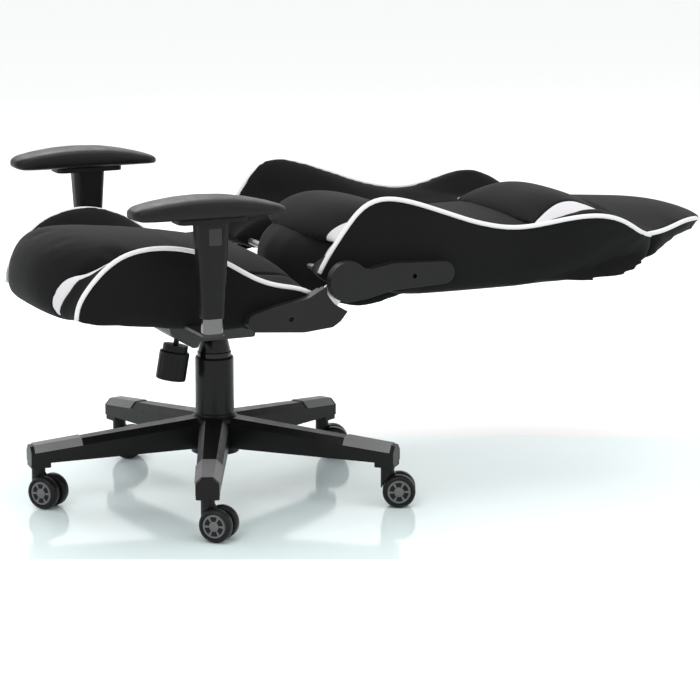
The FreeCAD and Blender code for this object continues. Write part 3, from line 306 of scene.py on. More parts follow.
@dataclass(frozen=True)
class Cloth:
    """Knitted spacer fabric, with a second colour where the accent attribute is positive."""

    name: str
    dark: float
    light: float
    pitch: float = 0.0021

    def material(self) -> bpy.types.Material:
        """Returns: the material."""
        g = Graph(self.name)
        turns = math.tau / self.pitch
        coordinates = g.tree.nodes.new("ShaderNodeTexCoord")
        parts = g.node("ShaderNodeSeparateXYZ", Vector=coordinates.outputs["Object"])
        waves = []
        for axis, other in ((0, 1), (1, 2), (2, 0)):
            along = g.maths("MULTIPLY", parts.outputs[axis], turns)
            waves.append(g.maths("SINE", g.maths("ADD", along, 0.7 * other)))
        knit = g.maths("MULTIPLY", waves[0], waves[1])
        knit = g.maths("ADD", knit, g.maths("MULTIPLY", waves[2], 0.5))
        knit = g.ranged(knit, -1.5, 1.5, 0.0, 1.0)
        fibre = g.noise(2600, 2)
        relief = g.maths("ADD", g.maths("MULTIPLY", knit, 0.65), g.maths("MULTIPLY", fibre, 0.35))
        patchy = g.noise(7, 3)
        black = g.mix(patchy, grey(self.dark * 0.75), grey(self.dark * 1.3, (1, 1, 1.02)))
        black = g.mix(g.ranged(relief, 0.2, 0.8, 0.0, 0.5), black, grey(self.dark * 2.0))
        white = g.mix(
            relief, grey(self.light * 0.88, (0.98, 0.96, 1.0)), grey(self.light, (0.99, 0.97, 1.0))
        )
        accent = g.tree.nodes.new("ShaderNodeAttribute")
        accent.attribute_name = "accent"
        edge = g.ranged(accent.outputs["Fac"], -0.0004, 0.0004, 0.0, 1.0)
        sheen = g.ranged(edge, 0, 1, 0.05, 0.03)
        g.surface(Base_Color=g.mix(edge, black, white), Roughness=0.88, Specular_IOR_Level=0.12)
        g.surface(Sheen_Weight=sheen, Sheen_Roughness=0.45)
        g.bump(relief, 0.00035, 0.55)
        return g.material


@dataclass(frozen=True)
class Piping:
    """Pale woven tape over the cord of a seam."""

    name: str
    value: float

    def material(self) -> bpy.types.Material:
        """Returns: the material."""
        g = Graph(self.name)
        weave = g.noise(1500, 2)
        colour = g.mix(weave, grey(self.value * 0.86), grey(self.value, (1, 0.99, 1)))
        g.surface(Base_Color=colour, Roughness=0.7, Sheen_Weight=0.08)
        g.bump(weave, 0.0002, 0.5)
        return g.material


@dataclass(frozen=True)
class Polish:
    """The stage: white ground with a strip of pale polished glass."""

    name: str
    near: float
    far: float
    heading: float

    def material(self) -> bpy.types.Material:
        """Returns: the material."""
        g = Graph(self.name)
        coordinates = g.tree.nodes.new("ShaderNodeTexCoord")
        parts = g.node("ShaderNodeSeparateXYZ", Vector=coordinates.outputs["Object"])
        across = g.maths(
            "ADD",
            g.maths("MULTIPLY", parts.outputs[0], math.cos(self.heading)),
            g.maths("MULTIPLY", parts.outputs[1], math.sin(self.heading)),
        )
        inside = g.maths(
            "MULTIPLY",
            g.ranged(across, self.near - 0.006, self.near, 0.0, 1.0),
            g.ranged(across, self.far, self.far + 0.006, 1.0, 0.0),
        )
        glass = g.mix(g.noise(2, 2), (0.80, 0.93, 0.93, 1), (0.86, 0.96, 0.96, 1))
        g.surface(Base_Color=g.mix(inside, (0.93, 0.94, 0.94, 1), glass))
        g.surface(Roughness=g.ranged(inside, 0, 1, 0.6, 0.09))
        g.surface(Specular_IOR_Level=g.ranged(inside, 0, 1, 0.1, 0.55))
        return g.material


class Finish:
    """Every finish of the chair, made once."""

    def __init__(self) -> None:
        """Builds the materials."""
        self.cloth = Cloth("knit fabric", 0.0045, 0.62).material()
        self.piping = Piping("piping tape", 0.72).material()
        self.base = Plastic("glass-filled nylon", 0.005, 0.34, 1100, 0.00008).material()
        self.tread = Plastic("tread plastic", 0.17, 0.42, 700, 0.0001).material()
        self.cover = Plastic("satin cover", 0.007, 0.27).material()
        self.gloss = Plastic("gloss cover", 0.005, 0.16, 400, 0.00002, 0.2).material()
        self.grip = Plastic("grip plastic", 0.007, 0.4).material()
        self.sleeve = Plastic("armrest plastic", 0.006, 0.36, 1300, 0.00008).material()
        self.button = Plastic("button plastic", 0.03, 0.22, 900, 0.00003).material()
        self.hinge = Plastic("hinge cover plastic", 0.011, 0.4, 1500, 0.0001).material()
        self.armpad = Plastic("soft polyurethane", 0.008, 0.38, 900, 0.00012).material()
        self.wheel = Plastic("caster tyre", 0.007, 0.34).material()
        self.disc = Plastic("caster disc", 0.12, 0.4).material()
        # Near-black finish for the disc's window floors: painted shade in the shallow recesses, not
        # the disc's own grey.
        self.shade = Plastic("caster recess painted shade", 0.008, 0.6).material()
        self.steel = Metal("zinc-plated steel", 0.55, 0.34).material()
        self.chrome = Metal("chrome", 0.15, 0.12, 0.000004).material()
        self.black_steel = PowderCoat("powder coat", 0.008).material()


# ---------------------------------------------------------------------------
# Mesh helpers
# ---------------------------------------------------------------------------


def settle(
    name: str,
    shape: bmesh.types.BMesh,
    materials: Iterable[bpy.types.Material],
    sharp: float | None = None,
) -> bpy.types.Object:
    """Turns a bmesh into a smooth-shaded object at the origin.

    Args:
        name: the object's name.
        shape: the bmesh, which is freed.
        materials: its material slots in order.
        sharp: edges above this angle in degrees stay sharp, or None for all smooth.

    Returns:
        The new object.
    """
    bmesh.ops.remove_doubles(shape, verts=shape.verts, dist=1e-6)
    bmesh.ops.recalc_face_normals(shape, faces=shape.faces)
    for face in shape.faces:
        face.smooth = True
    if sharp is not None:
        for edge in shape.edges:
            edge.smooth = edge.calc_face_angle(0) < math.radians(sharp)
    name = name.replace(" ", "_")
    mesh = bpy.data.meshes.new(name)
    shape.to_mesh(mesh)
    shape.free()
    for material in materials:
        mesh.materials.append(material)
    made = bpy.data.objects.new(name, mesh)
    bpy.context.scene.collection.objects.link(made)
    LOG.info("%s: %d faces", name, len(mesh.polygons))
    return made


def loft(shape: bmesh.types.BMesh, rings: Sequence[Sequence[Vector]]) -> None:
    """Skins rings of equal length, with a face on each end.

    Args:
        shape: the bmesh to add to.
        rings: the rings in order.
    """
    made = [[shape.verts.new(point) for point in ring] for ring in rings]
    count = len(made[0])
    for low, high in zip(made, made[1:]):
        for index in range(count):
            after = (index + 1) % count
            shape.faces.new((low[index], low[after], high[after], high[index]))
    shape.faces.new(list(reversed(made[0])))
    shape.faces.new(made[-1])


def tube_rings(path: Sequence[Vector], radius: float, sides: int = 12) -> list[list[Vector]]:
    """Circles along a path, each square to it.

    Args:
        path: the centreline.
        radius: the tube's radius.
        sides: corners of each circle.

    Returns:
        The circles.
    """
    rings = []
    up = Vector((0.13, 0.21, 0.97)).normalized()
    last = len(path) - 1
    for index, point in enumerate(path):
        along = (path[min(index + 1, last)] - path[max(index - 1, 0)]).normalized()
        first = (up - along * up.dot(along)).normalized()
        up = first
        second = along.cross(first)
        rings.append(
            [
                point
                + radius * math.cos(math.tau * step / sides) * first
                + radius * math.sin(math.tau * step / sides) * second
                for step in range(sides)
            ]
        )
    return rings


def smooth_line(points: Outline, count: int, loops: int = 2) -> Outline:
    """A rounded version of an outline with evenly spaced points.

    Args:
        points: the corners in order.
        count: how many points come back.
        loops: rounds of corner cutting.

    Returns:
        The new outline, with the same ends.
    """
    line = [Vector((*point, 0)) for point in points]
    for _ in range(loops):
        cut = [line[0]]
        for a, b in zip(line, line[1:]):
            cut += [a.lerp(b, 0.25), a.lerp(b, 0.75)]
        line = cut + [line[-1]]
    lengths = [0.0]
    for a, b in zip(line, line[1:]):
        lengths.append(lengths[-1] + (b - a).length)
    result = []
    index = 0
    for step in range(count):
        target = lengths[-1] * step / (count - 1)
        while index < len(line) - 2 and lengths[index + 1] < target:
            index += 1
        span = max(lengths[index + 1] - lengths[index], 1e-9)
        point = line[index].lerp(line[index + 1], (target - lengths[index]) / span)
        result.append((point.x, point.y))
    return result


def between(table: Sequence[tuple[float, float]], value: float) -> float:
    """Reads a table of pairs with straight lines between them.

    Args:
        table: (position, number) pairs in rising order.
        value: the position.

    Returns:
        The number there.
    """
    if value <= table[0][0]:
        return table[0][1]
    for (a, low), (b, high) in zip(table, table[1:]):
        if value <= b:
            return low + (high - low) * (value - a) / (b - a)
    return table[-1][1]


# ---------------------------------------------------------------------------
# Upholstery
# ---------------------------------------------------------------------------


@dataclass(frozen=True)
class SidePath:
    """One side view of an upholstered block: a top line and an underside line, in millimetres."""

    top: Outline
    under: Outline

    def ring(self, top_count: int, under_count: int) -> Outline:
        """The closed side view with evenly spaced points, in metres.

        Args:
            top_count: points on the top line.
            under_count: points on the underside.

        Returns:
            The ring.
        """
        top = smooth_line(self.top, top_count)
        under = smooth_line(self.under, under_count, 1)
        return [(y / 1000, z / 1000) for y, z in top + under[1:-1]]


@dataclass(frozen=True)
class Filling:
    """How a block is padded: remesh size, swelling and its cap."""

    voxel: float = 0.006
    pressure: float = 4.0
    cap: float = 0.009
    fill: float = 0.85


class SoftBlock:
    """A cushion lofted across the chair from side views, then filled by cloth simulation."""

    FRAMES = 20
    STRETCH_STIFFNESS = 12
    BENDING_STIFFNESS = 1.2

    def __init__(self, name: str, filling: Filling) -> None:
        """Starts a cushion.

        Args:
            name: the piece's name.
            filling: how it is padded.
        """
        self.name = name
        self.filling = filling
        self.object: bpy.types.Object | None = None

    def build(self, rings: Sequence[Sequence[Vector]], held: Holding) -> None:
        """Skins the rings, remeshes them and fills the cushion.

        Args:
            rings: the block's rings.
            held: how firmly a seam holds a point, from 0 to 1.
        """
        shape = bmesh.new()
        loft(shape, rings)
        made = settle(self.name, shape, [])
        self.object = made
        self._apply(made.modifiers.new("Remesh", "REMESH"), voxel_size=self.filling.voxel)
        self._inflate(held)
        self._relax(held)

    def _apply(self, modifier: bpy.types.Modifier, **settings: object) -> None:
        """Sets and applies a modifier.

        Args:
            modifier: the modifier on this cushion.
            settings: its properties.
        """
        for key, value in settings.items():
            setattr(modifier, key, value)
        bpy.context.view_layer.objects.active = self.object
        bpy.ops.object.modifier_apply(modifier=modifier.name)

    def _inflate(self, held: Holding) -> None:
        """Swells the cushion under air pressure, held at its seams.

        Args:
            held: how firmly a seam holds a point, from 0 to 1.
        """
        made = self.object
        rest = [vertex.co.copy() for vertex in made.data.vertices]
        group = made.vertex_groups.new(name="seams")
        for index, point in enumerate(rest):
            weight = held(point)
            if weight > 0.02:
                group.add([index], weight, "REPLACE")
        cloth = made.modifiers.new("Cloth", "CLOTH")
        cloth.settings.vertex_group_mass = "seams"
        cloth.settings.use_pressure = True
        cloth.settings.uniform_pressure_force = self.filling.pressure
        cloth.settings.effector_weights.gravity = 0
        cloth.settings.quality = 5
        cloth.settings.tension_stiffness = self.STRETCH_STIFFNESS
        cloth.settings.compression_stiffness = self.STRETCH_STIFFNESS
        cloth.settings.bending_stiffness = self.BENDING_STIFFNESS
        cloth.collision_settings.use_collision = False
        cloth.point_cache.frame_start = 1
        cloth.point_cache.frame_end = self.FRAMES
        scene = bpy.context.scene
        for number in range(1, self.FRAMES + 1):
            scene.frame_set(number)
        swollen = made.evaluated_get(bpy.context.evaluated_depsgraph_get()).data
        moved = [vertex.co.copy() for vertex in swollen.vertices]
        made.modifiers.remove(cloth)
        scene.frame_set(1)
        made.vertex_groups.clear()
        for vertex, start, end in zip(made.data.vertices, rest, moved):
            step = end - start
            length = step.length
            limit = self.filling.cap
            if length > 1e-9:
                step *= limit * math.tanh(length / limit) / length
            vertex.co = start + step

    def _relax(self, held: Holding) -> None:
        """Evens out the remesh's steps, subdivides once and shades smooth.

        Args:
            held: how firmly a seam holds a point, from 0 to 1.
        """
        shape = bmesh.new()
        shape.from_mesh(self.object.data)
        loose = [vertex for vertex in shape.verts if held(vertex.co) < 0.5]
        for part, rounds in ((loose, 4), (shape.verts, 2)):
            for _ in range(rounds):
                bmesh.ops.smooth_vert(
                    shape, verts=part, factor=0.5, use_axis_x=True, use_axis_y=True, use_axis_z=True
                )
        for face in shape.faces:
            face.smooth = True
        shape.to_mesh(self.object.data)
        shape.free()
        self._apply(self.object.modifiers.new("Fine", "SUBSURF"), levels=1, render_levels=1)

    def groove(self, distance: Callable[[Vector], float], depth: float, width: float) -> None:
        """Presses a stitched seam into the cushion.

        Args:
            distance: distance of a point from the seam.
            depth: how deep it is pressed.
            width: half width of the valley.
        """
        mesh = self.object.data
        normals = [vertex.normal.copy() for vertex in mesh.vertices]
        for vertex, normal in zip(mesh.vertices, normals):
            away = distance(vertex.co)
            if away < 4 * width:
                vertex.co -= normal * depth * math.exp(-((away / width) ** 2))

    def accent(self, value: Callable[[Vector], float]) -> None:
        """Stores where the pale fabric lies, positive inside it.

        Args:
            value: signed distance of a point into the pale area.
        """
        layer = self.object.data.attributes.new("accent", "FLOAT", "POINT")
        for vertex, item in zip(self.object.data.vertices, layer.data):
            item.value = value(vertex.co)

    def finish(self, material: bpy.types.Material, body: str, slot: str, *nodes: str) -> None:
        """Dresses the cushion and ties it to its body.

        Args:
            material: its fabric.
            body: the CAD body that it moves with.
            slot: the record's material slot; not used.
            nodes: the CAD nodes that it stands for.
        """
        self.object.data.materials.clear()
        self.object.data.materials.append(material)
        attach(self.object, body)
        if nodes:
            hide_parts(*nodes)
        LOG.info("%s: %d vertices", self.name, len(self.object.data.vertices))


class CrossLoft:
    """Blends a middle, a valley and a crest side view across the chair."""

    def __init__(
        self,
        middle: SidePath,
        valley: SidePath,
        crest: SidePath,
        width: Sequence[tuple[float, float]],
        counts: tuple[int, int],
    ) -> None:
        """Prepares the three side views.

        Args:
            middle: the side view on the middle plane.
            valley: the side view where the wing meets the middle cushion.
            crest: the side view along the wing's piping.
            width: half width by Y, in millimetres.
            counts: points on the top and underside lines.
        """
        self.rings = [path.ring(*counts) for path in (middle, valley, crest)]
        self.width = [(y / 1000, half / 1000) for y, half in width]
        self.top_count = counts[0]

    def side(self, level: float) -> Outline:
        """The side view at a level: 0 the middle, 1 the valley, 2 the crest.

        Args:
            level: the level.

        Returns:
            The side view.
        """
        index = min(1, int(level))
        share = level - index
        return [
            (a[0] + (b[0] - a[0]) * share, a[1] + (b[1] - a[1]) * share)
            for a, b in zip(self.rings[index], self.rings[index + 1])
        ]

    def ring(self, share: float, level: float, sign: float = 1) -> list[Vector]:
        """The ring at a share of the half width.

        Args:
            share: from -1 to 1.
            level: the level of its side view.
            sign: 1 for the left side, -1 for the right.

        Returns:
            The ring's points.
        """
        return [
            Vector((sign * share * between(self.width, y), y, z)) for y, z in self.side(level)
        ]

    def piping(self, sign: float) -> list[Vector]:
        """The crest's top line at the full width.

        Args:
            sign: 1 for the left side, -1 for the right.

        Returns:
            Points from the front or lower end to the other.
        """
        return [
            Vector((sign * between(self.width, y), y, z))
            for y, z in self.side(2)[: self.top_count]
        ]


def lay_piping(
    name: str, path: Sequence[Vector], cushion: SoftBlock, body: str, finish: Finish
) -> None:
    """A piping cord laid on a cushion's seam.

    Args:
        name: the piece's name.
        path: the seam's line.
        cushion: the cushion.
        body: the CAD body that it moves with.
        finish: the chair's finishes.
    """
    mesh = cushion.object.data
    tree = BVHTree.FromPolygons(
        [vertex.co for vertex in mesh.vertices], [list(face.vertices) for face in mesh.polygons]
    )
    laid = []
    for point in path:
        spot, normal, _, _ = tree.find_nearest(point)
        laid.append(spot + normal * CORD_PROUD)
    for _ in range(6):
        laid = [laid[0]] + [
            (a + b * 2 + c) / 4 for a, b, c in zip(laid, laid[1:], laid[2:])
        ] + [laid[-1]]
    shape = bmesh.new()
    loft(shape, tube_rings(laid, CORD_RADIUS))
    cord = settle(name, shape, [finish.piping])
    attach(cord, body)


def held_near(line: Sequence[Vector]) -> Holding:
    """The hold of a piped seam on the fabric beside it.

    Args:
        line: the seam.

    Returns:
        A function of a point, from 0 away from the seam to 1 on it.
    """

    def held(point: Vector) -> float:
        """Returns: the hold at a point."""
        near = min((point - spot).length for spot in line)
        return max(0.0, 1 - near / SEAM_HOLD)

    return held


def both_ways(steps: Sequence[tuple[float, float]]) -> list[tuple[float, float]]:
    """Steps from the middle to one edge, repeated towards the other edge.

    Args:
        steps: (share of the half width, level) pairs from the middle outwards.

    Returns:
        The pairs from edge to edge.
    """
    return [(-share, level) for share, level in reversed(steps[1:])] + list(steps)


@dataclass(frozen=True)
class SeatUpholstery:
    """The middle seat cushion and its two wings."""

    middle: SidePath = SidePath(
        top=[(-342, 374), (-366, 384), (-378, 430), (-364, 476), (-338, 500), (-300, 509),
             (-240, 503), (-145, 494), (-39, 478), (28, 463), (64, 452), (80, 434)],
        under=[(80, 434), (80, 382), (-40, 389), (-300, 405), (-306, 376), (-338, 374)],
    )
    valley: SidePath = SidePath(
        top=[(-330, 374), (-347, 380), (-355, 400), (-352, 424), (-335, 453), (-312, 460),
             (-280, 463), (-200, 462), (-130, 459), (-50, 449), (20, 440), (62, 436), (78, 424)],
        under=[(78, 424), (80, 384), (-47, 374), (-128, 372), (-203, 372), (-330, 374)],
    )
    crest: SidePath = SidePath(
        top=[(-334, 384), (-337, 400), (-327, 425), (-310, 450), (-291, 470), (-264, 491),
             (-237, 501), (-212, 506), (-192, 508), (-168, 508), (-139, 504), (-84, 485),
             (-59, 469), (-22, 445), (4, 434), (35, 427), (70, 424), (86, 412)],
        under=[(86, 412), (84, 388), (24, 385), (10, 362), (-52, 357), (-128, 359),
               (-203, 364), (-320, 375), (-334, 384)],
    )
    width: tuple[tuple[float, float], ...] = (
        (-374, 140), (-350, 168), (-343, 182), (-336, 191), (-324, 201), (-308, 205),
        (-264, 207), (-237, 210), (-212, 216), (-192, 222), (-168, 232), (-139, 242),
        (-84, 254), (86, 255),
    )

    CORE_STEPS = ((0.0, 0.0), (0.25, 0.04), (0.42, 0.14), (0.56, 0.34), (0.66, 0.62), (0.73, 0.9),
                  (SEAM_SHARE, 1.0))
    WING_STEPS = ((0.70, 1.02), (SEAM_SHARE, 1.0), (0.80, 1.12), (0.85, 1.45), (0.90, 1.86),
                  (0.94, 2.05), (0.97, 2.07), (1.0, 1.985))

    def build(self, finish: Finish) -> None:
        """Builds the cushions.

        Args:
            finish: the chair's finishes.
        """
        span = CrossLoft(self.middle, self.valley, self.crest, self.width, (44, 30))
        core = SoftBlock("seat cushion", Filling())
        core.build([span.ring(s, m) for s, m in both_ways(self.CORE_STEPS)], self._held_core)
        core.groove(lambda p: abs(abs(p.x) - SEAM_SHARE * between(span.width, p.y)), 0.004, 0.005)
        core.accent(lambda p: -1.0)
        core.finish(finish.cloth, "seat", "dark_fabric", "seat_cushion")
        for side in Side:
            self._wing(span, side, finish)

    @staticmethod
    def _held_core(point: Vector) -> float:
        """How firmly the middle cushion is held at a point.

        Args:
            point: a point on it.

        Returns:
            From 0 to 1.
        """
        low = 1.0 if point.z < 0.41 and point.y > -0.33 else 0.0
        return max(low, 1.0 if abs(point.x) > 0.185 else 0.0)

    def _wing(self, span: CrossLoft, side: Side, finish: Finish) -> None:
        """One wing with its piping.

        Args:
            span: the seat's blended side views.
            side: which side.
            finish: the chair's finishes.
        """
        sign = side.value
        wing = SoftBlock(f"seat wing {side.word}", Filling(0.0055, 3.0, 0.006, 0.85))
        line = span.piping(sign)
        wing.build([span.ring(s, m, sign) for s, m in self.WING_STEPS], held_near(line))
        wing.accent(lambda p: self._pale(abs(p.x), p.y, p.z))
        wing.groove(lambda p: abs(self._pale(abs(p.x), p.y, p.z)), 0.0022, 0.0025)
        wing.finish(finish.cloth, "seat", "dark_fabric", f"seat_bolster_{side.word}")
        lay_piping(f"seat piping {side.word}", line, wing, "seat", finish)

    @staticmethod
    def _pale(x: float, y: float, z: float) -> float:
        """Signed distance into the pale crescent on the wing's front.

        Args:
            x: distance from the middle plane.
            y: position front to back.
            z: height.

        Returns:
            Metres, positive inside.
        """
        outer = between([(0.37, 0.130), (0.385, 0.136), (0.43, 0.162), (0.455, 0.170)], z)
        outer += 0.5 * max(0.0, y + 0.318)
        seam = between([(0.37, 0.072), (0.40, 0.085), (0.42, 0.100), (0.453, 0.114)], z)
        inner = between([(-0.335, 0.0), (-0.33, 0.118), (-0.3195, 0.133), (-0.30, 0.153),
                         (-0.28, 0.174)], y)
        return min(outer - x, x - max(seam, inner), -0.268 - y, z - 0.36)


@dataclass(frozen=True)
class BackUpholstery:
    """The middle of the backrest with its head part, the wings, and the lumbar and head pillows."""

    middle: SidePath = SidePath(
        top=[(120, 372), (104, 392), (97, 425), (101, 452), (118, 476), (150, 492), (205, 499),
             (300, 495), (400, 488), (560, 492), (700, 494), (778, 496), (835, 493), (919, 485),
             (971, 470), (1005, 455), (1014, 447)],
        under=[(1014, 447), (1004, 441), (896, 434), (845, 422), (793, 410), (736, 403),
               (677, 396), (532, 389), (363, 388), (290, 381), (235, 364), (165, 359), (120, 372)],
    )
    valley: SidePath = SidePath(
        top=[(176, 374), (178, 400), (181, 430), (190, 458), (206, 476), (240, 486), (300, 484),
             (400, 474), (560, 474), (700, 474), (745, 468), (778, 464), (830, 461), (890, 471),
             (935, 470), (971, 462), (1002, 451), (1010, 446)],
        under=[(1010, 446), (1000, 442), (896, 440), (845, 428), (793, 414), (736, 407),
               (677, 399), (532, 390), (363, 389), (300, 384), (250, 369), (205, 362), (176, 374)],
    )
    wing_valley: SidePath = SidePath(
        top=[(112, 440), (130, 456), (170, 472), (205, 482), (240, 487), (300, 484), (400, 474),
             (560, 474), (680, 474), (745, 468), (785, 463)],
        under=[(785, 463), (786, 442), (778, 420), (736, 407), (677, 399), (532, 390), (363, 389),
               (262, 392), (235, 402), (180, 410), (135, 418), (112, 432), (112, 440)],
    )
    crest: SidePath = SidePath(
        top=[(101, 442), (124, 480), (151, 519), (176, 553), (197, 571), (234, 576), (285, 562),
             (333, 545), (413, 515), (475, 501), (533, 503), (587, 515), (645, 518), (691, 508),
             (718, 493), (740, 475), (762, 467), (785, 463)],
        under=[(785, 463), (788, 444), (779, 422), (745, 409), (720, 403), (677, 398), (532, 389),
               (363, 388), (262, 391), (235, 402), (180, 410), (130, 418), (102, 434), (101, 442)],
    )
    width: tuple[tuple[float, float], ...] = (
        (100, 240), (160, 246), (240, 255), (500, 256), (560, 266), (610, 279), (690, 281),
        (715, 276), (740, 264), (760, 250), (785, 227),
    )
    head: tuple[tuple[float, float], ...] = (
        (100, 176), (240, 196), (690, 200), (720, 222), (745, 244), (765, 242), (785, 226),
        (830, 192), (880, 163), (930, 125), (955, 105), (980, 78), (997, 50), (1010, 24),
        (1014, 14),
    )

    CORE_STEPS = ((0.0, 0.0), (0.3, 0.1), (0.5, 0.32), (0.7, 0.64), (0.87, 0.88), (1.0, 1.0))
    WING_STEPS = ((0.70, 1.02), (SEAM_SHARE, 1.0), (0.80, 1.1), (0.85, 1.38), (0.90, 1.72),
                  (0.945, 1.94), (0.975, 2.0), (1.0, 1.985))
    HEAD_CREASE = 0.752
    HEAD_START = 0.782
    SHOULDER = 0.64

    def build(self, finish: Finish) -> None:
        """Builds the backrest's cushions.

        Args:
            finish: the chair's finishes.
        """
        span = CrossLoft(self.middle, self.valley, self.crest, self.head, (60, 50))
        core = SoftBlock("back cushion", Filling(0.007, 3.0, 0.007, 0.8))

        def held(point: Vector) -> float:
            """Returns: the hold of the edge seam and of the rear at a point."""
            edge = between(span.width, point.y) - abs(point.x) + max(0.0, 0.455 - point.z)
            rear = 1.0 if point.z < 0.42 and point.y < 0.7 else 0.0
            return max(0.0, 1 - edge / SEAM_HOLD, rear)

        core.build([span.ring(s, m) for s, m in both_ways(self.CORE_STEPS)], held)
        core.groove(lambda p: abs(p.y - self.HEAD_CREASE) if p.z > 0.45 else 1.0, 0.004, 0.005)
        core.accent(lambda p: self._pale_lumbar(abs(p.x), p.y, p.z))
        core.finish(finish.cloth, "back", "dark_fabric", "back_cushion", "back_panel")
        edge = self._head_edge(span)
        for side in Side:
            path = [Vector((side.value * p.x, p.y, p.z)) for p in edge]
            lay_piping(f"head piping {side.word}", path, core, "back", finish)
        wings = CrossLoft(self.middle, self.wing_valley, self.crest, self.width, (60, 44))
        for side in Side:
            self._wing(wings, side, finish)
        self._lumbar(finish)
        self._headrest(finish)

    def _head_edge(self, span: CrossLoft) -> list[Vector]:
        """The seam round the head part, from the shoulder to the middle of the tip.

        Args:
            span: the blended side views.

        Returns:
            Points along the left half.
        """
        line = [(y, z) for y, z in span.side(1)[: span.top_count] if y > self.HEAD_START]
        wing_end = Vector((0.227, 0.7835, 0.4632))
        path = [wing_end] + [Vector((between(span.width, y), y, z - 0.003)) for y, z in line]
        last = path[-1]
        steps = 8
        for step in range(1, steps + 1):
            turn = step / steps
            path.append(Vector((last.x * (1 - turn), last.y + 0.004 * turn, last.z)))
        return path

    @staticmethod
    def _pale_lumbar(x: float, y: float, z: float) -> float:
        """Signed distance into the pale crescent beside the lumbar pad.

        Args:
            x: distance from the middle plane.
            y: position along the back.
            z: height.

        Returns:
            Metres, positive inside.
        """
        rim = between([(0.43, 0.24), (0.45, 0.226), (0.466, 0.22), (0.499, 0.238),
                       (0.525, 0.285)], z)
        return min(rim - y, x - 0.135, 0.19 - x, z - 0.415)

    def _wing(self, span: CrossLoft, side: Side, finish: Finish) -> None:
        """One wing with its piping.

        Args:
            span: the backrest's blended side views.
            side: which side.
            finish: the chair's finishes.
        """
        sign = side.value
        wing = SoftBlock(f"back wing {side.word}", Filling(0.006, 3.0, 0.006, 0.85))
        line = span.piping(sign)
        rings = []
        for share, level in self.WING_STEPS:
            hump = 0.022 * math.exp(-(((share - 0.89) / 0.06) ** 2))
            ring = span.ring(share, level, sign)
            for point in ring[: span.top_count]:
                point.z += hump * math.exp(-(((point.y - self.SHOULDER) / 0.07) ** 2))
            rings.append(ring)
        wing.build(rings, held_near(line))
        wing.accent(lambda p: -1.0)
        wing.finish(finish.cloth, "back", "dark_fabric", f"back_bolster_{side.word}")
        lay_piping(f"back piping {side.word}", line, wing, "back", finish)

    @staticmethod
    def _pillow(name: str, low: Outline, high: Outline, half: float, taper: float) -> SoftBlock:
        """A sewn-on pillow.

        Args:
            name: the piece's name.
            low: its underside line, in millimetres.
            high: its top line on the middle plane, in millimetres.
            half: its half width, in metres.
            taper: how much shorter its sides are than its middle.

        Returns:
            The pillow.
        """
        points = 26
        steps = 12
        top = smooth_line(high, points)
        base = smooth_line(low, points)
        middle = (top[0][0] + top[-1][0]) / 2
        rings = []
        for step in range(-steps, steps + 1):
            share = math.sin(0.5 * math.pi * step / steps)
            lift = max(0.02, 1 - abs(share) ** 3.2)
            shrink = 1 - taper * abs(share) ** 2.5
            ring = []
            for (y, z), (_, floor) in zip(top, base):
                ring.append(((y - middle) * shrink + middle, floor + (z - floor) * lift))
            for y, z in reversed(base[1:-1]):
                ring.append(((y - middle) * shrink + middle, z - 6))
            rings.append([Vector((half * share, y / 1000, z / 1000)) for y, z in ring])
        pillow = SoftBlock(name, Filling(0.005, 3.0, 0.006, 0.9))
        pillow.build(rings, lambda p: max(0.0, 1 - (half - abs(p.x)) / 0.02))
        return pillow

    def _lumbar(self, finish: Finish) -> None:
        """The lumbar pillow.

        Args:
            finish: the chair's finishes.
        """
        pillow = self._pillow(
            "lumbar pillow",
            [(138, 480), (205, 494), (300, 490), (396, 483)],
            [(138, 486), (153, 514), (197, 540), (253, 541), (310, 525), (360, 504), (396, 489)],
            0.162, 0.28,
        )
        pillow.accent(lambda p: self._pale_lumbar(abs(p.x), p.y, p.z))
        pillow.finish(finish.cloth, "back", "pad_fabric", "lumbar_pad")

    def _headrest(self, finish: Finish) -> None:
        """The head pillow with its pale ends.

        Args:
            finish: the chair's finishes.
        """
        pillow = self._pillow(
            "head pillow",
            [(552, 486), (640, 486), (742, 488)],
            [(552, 492), (572, 514), (615, 530), (658, 531), (706, 517), (733, 504), (742, 494)],
            0.168, 0.2,
        )

        def crescent(point: Vector) -> float:
            """Returns: the signed distance into the pale end."""
            return abs(point.x) - 0.107 - 0.9 * abs(point.y - 0.685) ** 1.3

        pillow.accent(crescent)
        pillow.groove(lambda p: abs(crescent(p)), 0.0022, 0.0025)
        pillow.finish(finish.cloth, "back", "pad_fabric", "head_pad")


# ---------------------------------------------------------------------------
# Armrests
# ---------------------------------------------------------------------------


